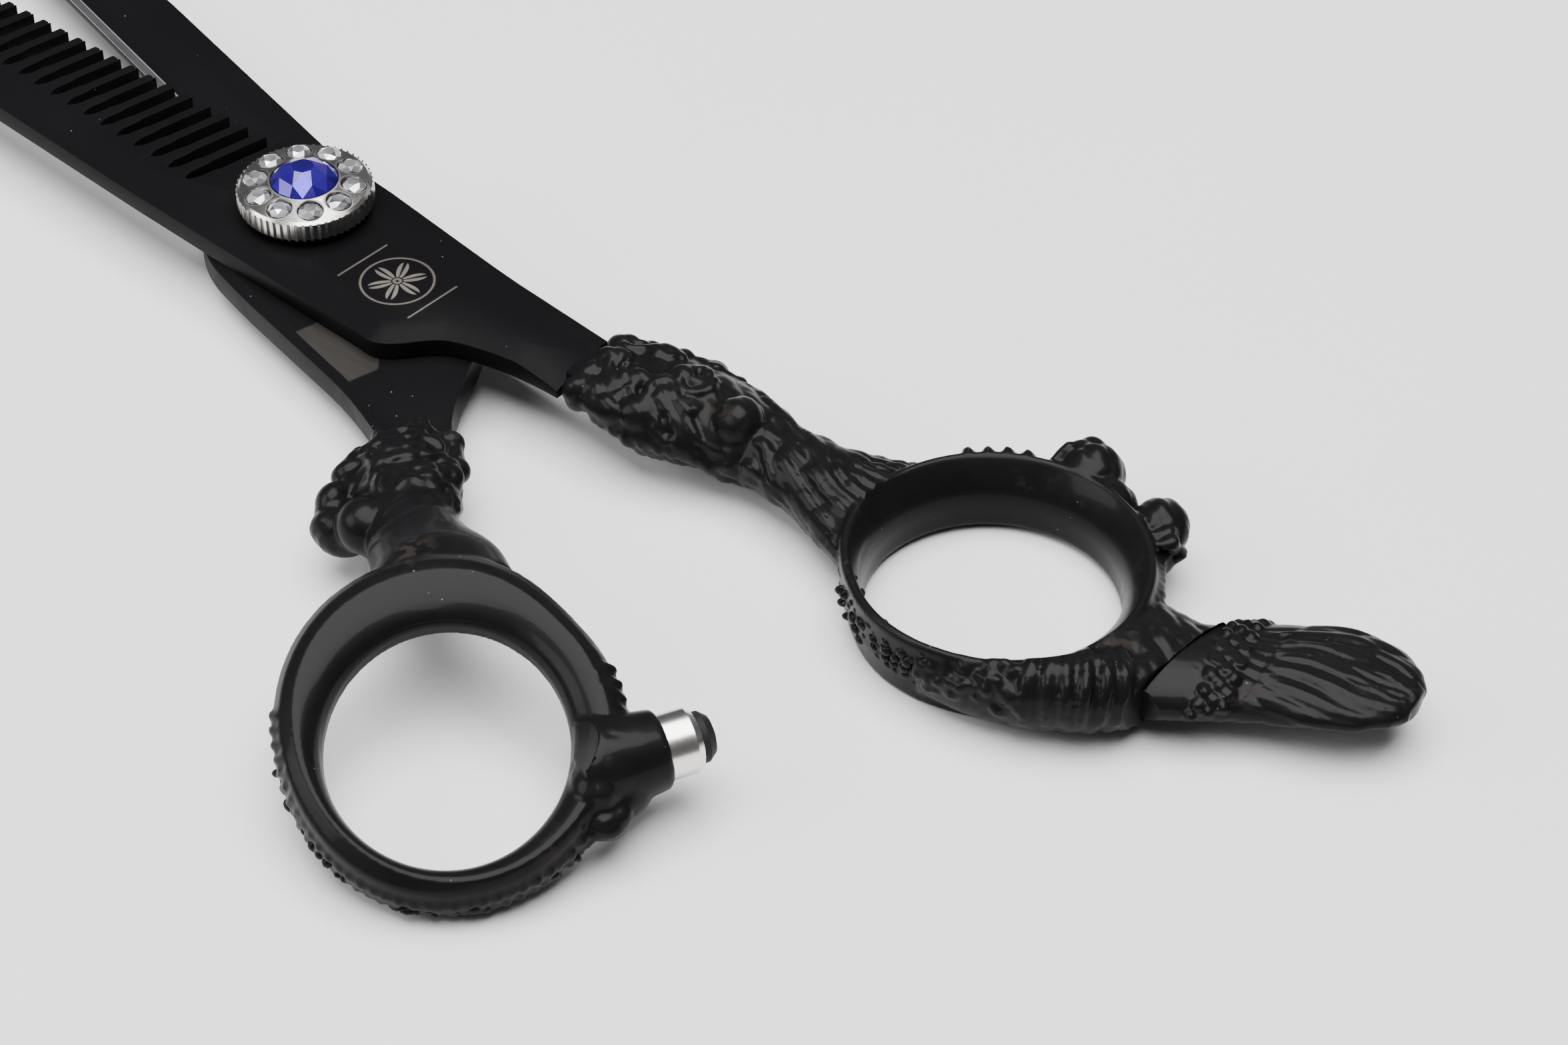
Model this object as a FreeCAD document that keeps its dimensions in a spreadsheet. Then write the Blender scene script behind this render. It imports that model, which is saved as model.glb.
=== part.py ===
"""Hairdresser's thinning shears: a parametric FreeCAD document, one solid per physical piece.

Frame: millimetres, +Z up. The origin is on the pivot axis, in the plane that the shears rest on.
+X runs from the pivot towards the blade tips, +Y towards the thumb side. The comb blade and the finger
ring lie still. The plain blade and the thumb ring are drawn with the shears closed and are then turned
open about the pivot by open_angle.
"""
import FreeCAD, Part
import math
import os

import Sketcher

Vector = FreeCAD.Vector

SIZES = [
    # pivot stack, from the table upwards
    ("head_diameter", 9.5, "pivot screw head"),
    ("head_height", 2.6, "pivot screw head, and so the height of the plain blade's underside"),
    ("plain_thickness", 3.2, "plain blade at the pivot"),
    ("comb_thickness", 2.6, "comb blade at the pivot"),
    ("screw_diameter", 4.0, "pivot screw shank"),
    ("key_across", 5.0, "square neck that keys the screw in the plain blade"),
    ("bush_diameter", 6.5, "pivot bush, outside"),
    ("running_gap", 0.04, "radial clearance of what turns"),
    ("seat_gap", 0.05, "clearance round pegs, studs and keys that don't turn"),
    ("ride_gap", 0.03, "clearance between flat faces that turn on each other"),
    ("glide_diameter", 11.0, "glide washer between the blades"),
    ("glide_thickness", 0.4, "glide washer"),
    ("washer_diameter", 9.4, "washers under the knob"),
    ("pressure_thickness", 0.25, "pressure washer"),
    ("spring_thickness", 0.2, "dished spring"),
    ("keyed_thickness", 0.25, "keyed washer"),
    # tension knob
    ("knob_diameter", 12.8, "tension knob"),
    ("knob_height", 2.2, "straight knurled side of the knob"),
    ("knob_crown", 0.55, "rise of the knob's face towards its middle"),
    ("insert_diameter", 6.0, "threaded insert"),
    ("insert_height", 1.5, "threaded insert"),
    ("click_diameter", 1.0, "click ball pressed into the underside of the knob"),
    ("click_circle", 9.0, "diameter of the circle that the click ball runs on"),
    ("stone_diameter", 6.4, "centre stone"),
    ("stone_depth", 0.8, "centre stone below its girdle"),
    ("stone_crown", 1.5, "centre stone above its girdle"),
    ("rim_stone_diameter", 2.4, "small stones"),
    ("rim_stone_count", 10, "small stones round the knob"),
    ("rim_stone_circle", 9.5, "diameter of the circle that the small stones lie on"),
    # blades
    ("blade_reach", 77.0, "pivot to blade tip"),
    ("blade_half_width", 9.1, "pivot axis to the comb blade's spine"),
    ("back_width", 7.5, "pivot axis to the far edge at the comb's heel"),
    ("tip_thickness", 1.3, "each blade at its tip"),
    ("taper_start", 18.0, "where the blades start to thin towards the tip"),
    ("tooth_count", 24, "slots in the comb"),
    ("tooth_pitch", 2.6, "slot to slot"),
    ("slot_width", 1.5, "slot"),
    ("slot_start", 12.2, "pivot to the first slot"),
    ("slot_top", 4.6, "pivot line to the closed end of the first slot"),
    ("slot_lean", 9.0, "lean of the slots towards the pivot, degrees"),
    ("tooth_tip", 5.1, "pivot line to the first tooth's tip"),
    ("notch_depth", 0.3, "notch in each tooth's tip"),
    ("edge_land", 0.5, "thickness left behind the cutting edge"),
    ("edge_bevel", 3.0, "width of the plain blade's outer bevel"),
    # shanks and the pegs that enter the castings
    ("comb_shank_end", 35.2, "pivot to the shoulder of the comb blade's shank"),
    ("plain_shank_x", -31.75, "middle of the plain blade's shoulder"),
    ("plain_shank_y", 7.3, "middle of the plain blade's shoulder"),
    ("plain_shank_turn", 155.5, "direction of the thumb shank from +X, degrees"),
    ("plain_shank_width", 6.2, "thumb shank at its shoulder"),
    ("peg_length", 9.0, "peg inside each casting"),
    ("peg_width", 4.4, "peg inside each casting"),
    ("peg_y", -3.7, "lower side of the comb blade's peg"),
    # finger ring and its rest
    ("finger_x", -79.2, "middle of the finger ring"),
    ("finger_y", -6.9, "middle of the finger ring"),
    ("finger_bore", 22.6, "finger ring, clear diameter"),
    ("ring_wall", 2.9, "radial thickness of the finger ring"),
    ("ring_height", 7.6, "finger ring"),
    ("ring_flare", 2.0, "how far the finger ring opens at its top"),
    ("rest_joint_x", -98.0, "face where the finger rest meets the finger handle"),
    ("rest_length", 18.1, "finger rest beyond that face"),
    ("stud_diameter", 3.0, "stud that holds the finger rest"),
    ("stud_length", 8.0, "stud that holds the finger rest"),
    # thumb ring, drawn closed
    ("thumb_x", -67.9, "middle of the thumb ring"),
    ("thumb_y", 26.4, "middle of the thumb ring"),
    ("thumb_z", 7.0, "middle of the thumb ring above the table"),
    ("thumb_long", 22.2, "thumb ring opening along the handle"),
    ("thumb_wide", 20.2, "thumb ring opening across the handle"),
    ("thumb_wall", 3.7, "radial thickness of the thumb ring"),
    ("thumb_height", 5.0, "thumb ring along its own axis"),
    ("thumb_tilt", 20.0, "lean of the thumb ring's axis away from the pivot, degrees"),
    ("thumb_turn", 148.5, "direction that the thumb ring leans in, degrees"),
    # bumper, drawn closed
    ("bumper_x", -77.6, "end of the bumper boss"),
    ("bumper_y", 11.9, "end of the bumper boss"),
    ("bumper_z", 6.4, "bumper axis above the table"),
    ("bumper_turn", 257.3, "direction that the bumper points in, degrees"),
    ("boss_diameter", 6.8, "bumper boss at its end"),
    ("boss_length", 8.0, "bumper boss"),
    ("sleeve_diameter", 5.6, "bumper sleeve"),
    ("sleeve_length", 3.0, "bumper sleeve"),
    ("pad_diameter", 4.4, "rubber pad"),
    ("pad_proud", 1.5, "rubber pad beyond its sleeve"),
    ("bumper_screw_diameter", 2.5, "bumper screw"),
    ("open_angle", 12.5, "turn from closed to the rest pose, degrees"),
]

DOC = FreeCAD.newDocument("thinning_shears")
SHEET = DOC.addObject("Spreadsheet::Sheet", "dims")
for row, (alias, amount, note) in enumerate(SIZES, start=1):
    SHEET.set(f"A{row}", alias)
    SHEET.set(f"B{row}", str(amount))
    SHEET.set(f"C{row}", note)
    SHEET.setAlias(f"B{row}", alias)
DOC.recompute()

NODES = []

# heights that several pieces share, as expressions on the sheet
PLAIN_BASE = "dims.head_height"
RIDE = "(dims.head_height + dims.plain_thickness)"
COMB_BASE = f"({RIDE} + dims.ride_gap)"
COMB_TOP = f"({COMB_BASE} + dims.comb_thickness)"
PRESSURE_BASE = f"({COMB_TOP} + dims.ride_gap)"
PRESSURE_TOP = f"({PRESSURE_BASE} + dims.pressure_thickness)"
SPRING_TOP = f"({PRESSURE_TOP} + dims.spring_thickness)"
KNOB_BASE = f"({SPRING_TOP} + dims.keyed_thickness + dims.ride_gap)"
KNOB_SHOULDER = f"({KNOB_BASE} + dims.knob_height)"
KNOB_FACE = f"({KNOB_SHOULDER} + dims.knob_crown)"
OPENED = "placement(vector(0; 0; 0); rotation(-dims.open_angle; 0; 0))"


def value(expression):
    """The number that an expression on the sheet gives."""
    return float(SHEET.evalExpression(expression))


def size(alias):
    """One size from the sheet."""
    return value(f"dims.{alias}")


def polar(length, degrees):
    """A flat vector of this length in this direction."""
    turn = math.radians(degrees)
    return Vector(length * math.cos(turn), length * math.sin(turn), 0)


def piece(label, kind="PartDesign::Body", opened=False):
    """An object for one physical piece; opened turns it with the thumb half."""
    item = DOC.addObject(kind, label)
    item.Label = label
    if opened:
        item.setExpression("Placement", OPENED)
    NODES.append(item)
    return item


def sketch_on(body, role, offset=None):
    """A sketch on one of the body's own origin planes, moved by an expression."""
    plane = next(item for item in body.Origin.OriginFeatures if item.Role == role)
    sketch = body.newObject("Sketcher::SketchObject", f"{body.Name}_sketch")
    sketch.AttachmentSupport = (plane, [""])
    sketch.MapMode = "FlatFace"
    if offset:
        sketch.setExpression("AttachmentOffset", offset)
    return sketch


def raised(height):
    """The offset that lifts a flat sketch to a height."""
    return f"placement(vector(0; 0; {height}); rotation(0; 0; 0))"


def upright(at, turn):
    """The offset of an upright sketch at a point, facing the direction turn, its own y upwards."""
    return f"placement(vector({at[0]}; {at[1]}; {at[2]}); rotation(({turn}) + 90; 0; 90))"


def add_runs(sketch, runs):
    """Draw a closed outline: a run of two points is straight, a longer one is a smooth curve."""
    for run in runs:
        points = [Vector(x, y, 0) for x, y in run]
        if len(points) == 2:
            sketch.addGeometry(Part.LineSegment(*points), False)
        else:
            curve = Part.BSplineCurve()
            curve.interpolate(points)
            sketch.addGeometry(curve, False)


def add_polygon(sketch, points):
    """Draw a closed outline of straight edges."""
    add_runs(sketch, [[start, end] for start, end in zip(points, points[1:] + points[:1])])


def add_circle(sketch, radius):
    """Draw a circle about the sketch's origin with its radius bound to an expression."""
    index = sketch.addGeometry(Part.Circle(Vector(0, 0, 0), Vector(0, 0, 1), value(radius)), False)
    sketch.addConstraint(Sketcher.Constraint("Coincident", index, 3, -1, 1))
    sketch.addConstraint(Sketcher.Constraint("Radius", index, value(radius)))
    sketch.renameConstraint(1, "radius")
    sketch.setExpression("Constraints.radius", radius)


def add_ellipse(sketch, across, upward):
    """Draw an ellipse about the sketch's origin; across is its larger half size."""
    sketch.addGeometry(Part.Ellipse(Vector(across, 0, 0), Vector(0, upward, 0), Vector(0, 0, 0)), False)


def extrude(body, sketch, length, kind="PartDesign::Pad", both_ways=False, backwards=False):
    """Pad or pocket a sketch by an expression, and check that it changed the solid."""
    before = body.Shape.Volume if body.Tip else 0.0
    feature = body.newObject(kind, f"{body.Name}_{kind.split('::')[1].lower()}")
    feature.Profile = sketch
    feature.SideType = "Symmetric" if both_ways else "One side"
    feature.Reversed = backwards
    feature.setExpression("Length", length)
    DOC.recompute()
    if abs(body.Shape.Volume - before) < 1e-6:
        raise RuntimeError(f"{feature.Name} changed nothing")
    return feature


def revolve(body, sketch, kind="PartDesign::Revolution"):
    """Turn a half profile all the way round the sketch's own y axis."""
    feature = body.newObject(kind, f"{body.Name}_{kind.split('::')[1].lower()}")
    feature.Profile = sketch
    feature.ReferenceAxis = (sketch, ["V_Axis"])
    feature.Angle = 360.0
    DOC.recompute()
    return feature


def loft(body, sketches, kind="PartDesign::AdditiveLoft"):
    """Loft through sketches."""
    feature = body.newObject(kind, f"{body.Name}_loft")
    feature.Profile = sketches[0]
    feature.Sections = sketches[1:]
    feature.Ruled = True
    DOC.recompute()
    return feature


def row_of(body, cut, sketch, count, length):
    """Repeat a cut along its sketch's own x axis."""
    row_feature = body.newObject("PartDesign::LinearPattern", f"{body.Name}_row")
    row_feature.Originals = [cut]
    row_feature.Direction = (sketch, ["H_Axis"])
    row_feature.setExpression("Length", length)
    row_feature.setExpression("Occurrences", count)
    body.Tip = row_feature
    DOC.recompute()
    return row_feature


def chamfer(body, base, edges, inward, downward, flip=False):
    """Bevel some edges of a feature by two distances."""
    feature = body.newObject("PartDesign::Chamfer", f"{body.Name}_chamfer")
    feature.Base = (base, edges)
    feature.ChamferType = "Two distances"
    feature.FlipDirection = flip
    feature.Size = inward
    feature.Size2 = downward
    DOC.recompute()
    return feature


def edges_where(shape, test):
    """Names of the edges whose middle point passes a test."""
    names = []
    for index, edge in enumerate(shape.Edges, start=1):
        middle = edge.valueAt((edge.FirstParameter + edge.LastParameter) / 2)
        if test(middle):
            names.append(f"Edge{index}")
    return names


def thin_to_tip(body, face, sign):
    """Plane a blade's outer face down towards its tip."""
    sketch = sketch_on(body, "XZ_Plane")
    fall = sign * (size("comb_thickness") - size("tip_thickness"))
    if sign > 0:
        fall = size("plain_thickness") - size("tip_thickness")
    far = size("blade_reach") + 1
    level = value(face)
    outside = level - sign
    add_polygon(sketch, [
        (size("taper_start"), level), (far, level + fall), (far, outside), (size("taper_start"), outside)])
    extrude(body, sketch, "4 * dims.blade_half_width", "PartDesign::Pocket", both_ways=True)


# ---------------------------------------------------------------- comb blade

def comb_blade():
    """Forged toothed blade: outline, spine facet, slots, tooth notches and pivot hole."""
    body = piece("comb_blade")
    reach = size("blade_reach")
    spine = size("blade_half_width")
    back = -size("back_width")
    tip_line = -size("tooth_tip")
    shoulder = -size("comb_shank_end")
    peg = size("peg_width")
    peg_low = size("peg_y")
    outline = sketch_on(body, "XY_Plane", raised(COMB_BASE))
    add_runs(outline, [
        [(shoulder, -4.7), (-26, -5.1), (-20, -5.5), (-14, -6.1), (-6, -6.9), (2, back + 0.1), (8, back)],
        [(8, back), (10.2, back + 0.3)],
        [(10.2, back + 0.3), (11.1, tip_line)],
        [(11.1, tip_line), (reach - 3.2, tip_line + 2.0)],
        [(reach - 3.2, tip_line + 2.0), (reach - 0.7, tip_line + 3.6), (reach, 0.7),
         (reach - 0.6, 2.9), (reach - 2.4, 4.9), (reach - 5, 6.0)],
        [(reach - 5, 6.0), (60, spine - 1.5), (47, spine - 0.8), (35, spine - 0.5), (20, spine - 0.15),
         (5, spine), (-8, spine), (-17, spine)],
        [(-17, spine), (-19.3, spine - 0.35), (-21.2, 6.9), (-23, 4.8), (-25.5, 3.6), (-28.5, 2.75),
         (-32, 2.2), (shoulder, 2.0)],
        [(shoulder, 2.0), (shoulder, peg_low + peg)],
        [(shoulder, peg_low + peg), (shoulder - size("peg_length"), peg_low + peg)],
        [(shoulder - size("peg_length"), peg_low + peg), (shoulder - size("peg_length"), peg_low)],
        [(shoulder - size("peg_length"), peg_low), (shoulder, peg_low)],
        [(shoulder, peg_low), (shoulder, -4.7)],
    ])
    plate = extrude(body, outline, "dims.comb_thickness")
    top = value(COMB_TOP)
    facet = edges_where(plate.Shape, lambda p: abs(p.z - top) < 0.01 and p.y > 1.9 and p.x > shoulder + 0.5)
    chamfer(body, plate, facet, 0.75, 2.1)

    facing = sketch_on(body, "YZ_Plane", upright_x(shoulder))
    starting = sketch_on(body, "YZ_Plane", upright_x(-21.0))
    add_polygon(facing, [(-2.6, top), (3.4, top + 0.1), (3.4, top - 2.3)])
    add_polygon(starting, [(6.3, top), (6.9, top + 0.1), (6.9, top - 0.25)])
    loft(body, [starting, facing], "PartDesign::SubtractiveLoft")

    thin_to_tip(body, COMB_TOP, -1)

    hole = sketch_on(body, "XY_Plane", raised(COMB_BASE))
    add_circle(hole, "dims.bush_diameter / 2")
    extrude(body, hole, "4 * dims.comb_thickness", "PartDesign::Pocket", both_ways=True)

    slot_fall = math.degrees(math.atan2(0.65, 28))
    slot_sketch = sketch_on(body, "XY_Plane", (
        f"placement(vector(dims.slot_start; dims.slot_top; {COMB_BASE}); rotation(-{slot_fall}; 0; 0))"))
    half = size("slot_width") / 2
    lean = math.radians(size("slot_lean") - slot_fall)
    run = size("slot_top") + size("tooth_tip") + 3
    down = Vector(-math.sin(lean), -math.cos(lean), 0)
    across = Vector(math.cos(lean), -math.sin(lean), 0)

    def slot_point(along, aside):
        point = down * along + across * aside
        return (point.x, point.y)

    add_runs(slot_sketch, [
        [slot_point(3.4, half), slot_point(1.6, 0.8 * half), slot_point(0.35, 0.42 * half),
         slot_point(0, 0), slot_point(0.35, -0.42 * half), slot_point(1.6, -0.8 * half),
         slot_point(3.4, -half)],
        [slot_point(3.4, -half), slot_point(run, -half)],
        [slot_point(run, -half), slot_point(run, half)],
        [slot_point(run, half), slot_point(3.4, half)],
    ])
    slot = extrude(body, slot_sketch, "4 * dims.comb_thickness", "PartDesign::Pocket", both_ways=True)
    row_of(body, slot, slot_sketch, "dims.tooth_count", "(dims.tooth_count - 1) * dims.tooth_pitch")

    rise = math.degrees(math.atan2(2.0, reach - 3.2 - 11.1))
    step = size("tooth_pitch")
    first = size("slot_start") + step / 2 - math.tan(math.radians(size("slot_lean"))) * (
        size("slot_top") + size("tooth_tip"))
    notch_at = (first, tip_line + math.tan(math.radians(rise)) * (first - 11.1))
    notch_sketch = sketch_on(body, "XY_Plane", (
        f"placement(vector({notch_at[0]}; {notch_at[1]}; {COMB_BASE}); rotation({rise}; 0; 0))"))
    deep = size("notch_depth")
    add_polygon(notch_sketch, [(0, deep), (-deep, -deep), (deep, -deep)])
    notch = extrude(body, notch_sketch, "4 * dims.comb_thickness", "PartDesign::Pocket", both_ways=True)
    row_of(body, notch, notch_sketch, "dims.tooth_count - 1", "(dims.tooth_count - 2) * dims.tooth_pitch")


def upright_x(x):
    """The offset of a sketch on the YZ plane at this x."""
    return f"placement(vector(0; 0; {x}); rotation(0; 0; 0))"


# ---------------------------------------------------------------- plain blade

def shank_point(along, aside):
    """A point measured from the middle of the thumb shank's shoulder."""
    middle = Vector(size("plain_shank_x"), size("plain_shank_y"), 0)
    turn = size("plain_shank_turn")
    point = middle + polar(along, turn) + polar(aside, turn - 90)
    return (point.x, point.y)


def plain_blade():
    """Forged cutting blade: outline, cutting bevel, washer recess and keyed hole."""
    body = piece("plain_blade", opened=True)
    reach = size("blade_reach")
    outer = size("blade_half_width") + 0.8
    half = size("plain_shank_width") / 2
    peg = size("peg_width") / 2
    length = size("peg_length")
    outline = sketch_on(body, "XY_Plane", raised(PLAIN_BASE))
    add_runs(outline, [
        [shank_point(0, -half), (-31.4, 3.4), (-28.6, 0.9), (-25.85, -2.2), (-22.5, -5.4), (-19, -7.3),
         (-14, -8.0)],
        [(-14, -8.0), (0, -8.1), (13, -8.0), (28, -7.9), (42, -7.7), (58, -6.6), (reach - 7, -4.6)],
        [(reach - 7, -4.6), (reach - 2, -2.9), (reach, -0.8), (reach - 0.5, 0.4)],
        [(reach - 0.5, 0.4), (12, 0.62)],
        [(12, 0.62), (10.8, 3.4), (8.4, 6.9), (4.6, 9.1), (0, outer)],
        [(0, outer), (-10, outer - 0.2), (-16, outer - 0.5), (-21.3, outer - 0.7), (-26, outer - 0.4),
         shank_point(0, half)],
        [shank_point(0, half), shank_point(0, peg)],
        [shank_point(0, peg), shank_point(length, peg)],
        [shank_point(length, peg), shank_point(length, -peg)],
        [shank_point(length, -peg), shank_point(0, -peg)],
        [shank_point(0, -peg), shank_point(0, -half)],
    ])
    plate = extrude(body, outline, "dims.plain_thickness")
    top = value(RIDE)
    shoulder = shank_point(0, 0)[0]
    facet = edges_where(
        plate.Shape, lambda p: abs(p.z - top) < 0.01 and p.y > 8.6 and shoulder + 1.5 < p.x < -2)
    chamfer(body, plate, facet, 0.8, 0.8)
    thin_to_tip(body, PLAIN_BASE, 1)

    bevel = sketch_on(body, "YZ_Plane", upright_x(12.0))
    base = value(PLAIN_BASE)
    add_polygon(bevel, [(0.9, top - size("edge_land")), (0.9, base - 1), (-size("edge_bevel"), base - 1),
                        (-size("edge_bevel"), base)])
    extrude(body, bevel, "dims.blade_reach", "PartDesign::Pocket", backwards=True)

    recess = sketch_on(body, "XY_Plane", raised(RIDE))
    add_circle(recess, "dims.glide_diameter / 2 + dims.seat_gap")
    extrude(body, recess, "dims.glide_thickness + 0.02", "PartDesign::Pocket")

    key = sketch_on(body, "XY_Plane", raised(RIDE))
    side = size("key_across") / 2 + size("seat_gap")
    add_polygon(key, [(side, side), (-side, side), (-side, -side), (side, -side)])
    extrude(body, key, "2 * dims.plain_thickness", "PartDesign::Pocket")


# ---------------------------------------------------------------- pivot stack

def revolved(label, profile, opened=False):
    """A piece of revolution about the pivot axis from (radius, height) corners."""
    body = piece(label, opened=opened)
    sketch = sketch_on(body, "XZ_Plane")
    add_polygon(sketch, profile)
    revolve(body, sketch)
    return body


def washer(label, outer, inner, base, height, opened=False):
    """A flat ring about the pivot axis."""
    cutter = DOC.addObject("Part::Cylinder", f"{label}_hole")
    blank = DOC.addObject("Part::Cylinder", f"{label}_blank")
    for item, radius in ((cutter, inner), (blank, outer)):
        item.setExpression("Radius", radius)
        item.setExpression("Height", height)
        item.setExpression("Placement.Base.z", base)
    ring = piece(label, "Part::Cut", opened=opened)
    ring.Base = blank
    ring.Tool = cutter
    return ring


def pivot_stack():
    """Screw, bush, glide washer and the washers under the knob."""
    body = piece("pivot_screw", opened=True)
    profile = sketch_on(body, "XZ_Plane")
    head = size("head_diameter") / 2
    high = size("head_height")
    shank = size("screw_diameter") / 2
    top = value(KNOB_BASE) + size("insert_height") - 0.2
    add_polygon(profile, [
        (0, 0), (head - 0.7, 0), (head, 0.7), (head, high), (shank, high), (shank, top - 0.4),
        (shank - 0.4, top), (0, top)])
    revolve(body, profile)
    key = sketch_on(body, "XY_Plane", raised(PLAIN_BASE))
    side = size("key_across") / 2
    add_polygon(key, [(side, side), (-side, side), (-side, -side), (side, -side)])
    extrude(body, key, "dims.plain_thickness - dims.glide_thickness - 0.05")

    shank_hole = "dims.screw_diameter / 2 + dims.running_gap"
    washer("glide_washer", "dims.glide_diameter / 2", shank_hole,
           f"{RIDE} - dims.glide_thickness", "dims.glide_thickness", opened=True)
    washer("pivot_bush", "dims.bush_diameter / 2", shank_hole, COMB_BASE, "dims.comb_thickness")
    washer("pressure_washer", "dims.washer_diameter / 2", shank_hole, PRESSURE_BASE,
           "dims.pressure_thickness", opened=True)
    washer("tension_spring", "dims.washer_diameter / 2 - 0.6", shank_hole, PRESSURE_TOP,
           "dims.spring_thickness", opened=True)
    washer("keyed_washer", "dims.washer_diameter / 2", shank_hole, SPRING_TOP,
           "dims.keyed_thickness", opened=True)


# ---------------------------------------------------------------- tension knob

def rim_spots():
    """Middles of the small stones, evenly round the knob."""
    count = int(size("rim_stone_count"))
    return [polar(size("rim_stone_circle") / 2, 360.0 * number / count) for number in range(count)]


def knob():
    """Knurled knob with its insert and stones."""
    outer = size("knob_diameter") / 2
    base = value(KNOB_BASE)
    shoulder = value(KNOB_SHOULDER)
    face = value(KNOB_FACE)
    bore = size("insert_diameter") / 2
    top = base + size("insert_height")
    seat = size("stone_diameter") / 2
    body = revolved("knob_body", [
        (bore, base), (outer - 0.3, base), (outer, base + 0.3),
        (outer, shoulder - 0.25), (outer - 0.3, shoulder), (seat + 0.1, face), (seat + 0.1, face - 0.3), (1.8, top), (bore, top)])
    seats = sketch_on(body, "XY_Plane", raised(f"{KNOB_SHOULDER} + 2"))
    small = size("rim_stone_diameter") / 2
    for spot in rim_spots():
        hole = Part.Circle(spot, Vector(0, 0, 1), small + size("seat_gap"))
        seats.addGeometry(hole, False)
    extrude(body, seats, "2 + 0.7", "PartDesign::Pocket")

    washer("knob_insert", "dims.insert_diameter / 2", "dims.screw_diameter / 2 + dims.running_gap",
           KNOB_BASE, "dims.insert_height")

    table = 0.34 * seat
    revolved("centre_crystal", [
        (0, face - size("stone_depth")), (0.4, face - size("stone_depth")),
        (seat, face - 0.15), (seat, face + 0.1), (0.74 * seat, face + 0.62 * size("stone_crown")), (table, face + size("stone_crown")),
        (0, face + size("stone_crown"))])

    click = f"vector(dims.click_circle / 2; 0; {KNOB_BASE} + dims.click_diameter / 2 + 0.02)"
    dimple = sketch_on(
        body, "XY_Plane", "placement(vector(dims.click_circle / 2; 0; 0); rotation(0; 0; 0))")
    add_circle(dimple, "dims.click_diameter / 2 + 0.02")
    extrude(body, dimple, f"{KNOB_BASE} + dims.click_diameter + 0.1", "PartDesign::Pocket", backwards=True)
    ball = piece("click_ball", "Part::Sphere")
    ball.setExpression("Radius", "dims.click_diameter / 2")
    ball.setExpression("Placement.Base", click)

    floor = shoulder - 0.65
    stones = []
    for spot in rim_spots():
        girdle = Vector(spot.x, spot.y, floor + 0.75)
        pavilion = Part.makeCone(0.2, small, 0.75, Vector(spot.x, spot.y, floor))
        crown = Part.makeCone(small, 0.55 * small, 0.5, girdle)
        stones.append(pavilion.fuse(crown).removeSplitter())
    rim = piece("rim_crystals", "Part::Feature")
    rim.Shape = Part.makeCompound(stones)


# ---------------------------------------------------------------- finger handle

def oval_sections(body, stations, turn):
    """Upright oval sketches along a handle: (x, y, z, half width, half height) each."""
    sketches = []
    for x, y, z, half_width, half_height in stations:
        sketch = sketch_on(body, "XY_Plane", upright((x, y, z), turn))
        add_ellipse(sketch, half_width, half_height)
        sketches.append(sketch)
    return sketches


def lump(body, at, radius):
    """A round boss of the casting."""
    ball = body.newObject("PartDesign::AdditiveSphere", f"{body.Name}_lump")
    plane = next(item for item in body.Origin.OriginFeatures if item.Role == "XY_Plane")
    ball.AttachmentSupport = (plane, [""])
    ball.MapMode = "FlatFace"
    ball.AttachmentOffset = FreeCAD.Placement(Vector(*at), FreeCAD.Rotation())
    ball.Radius = radius
    DOC.recompute()
    return ball


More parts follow.
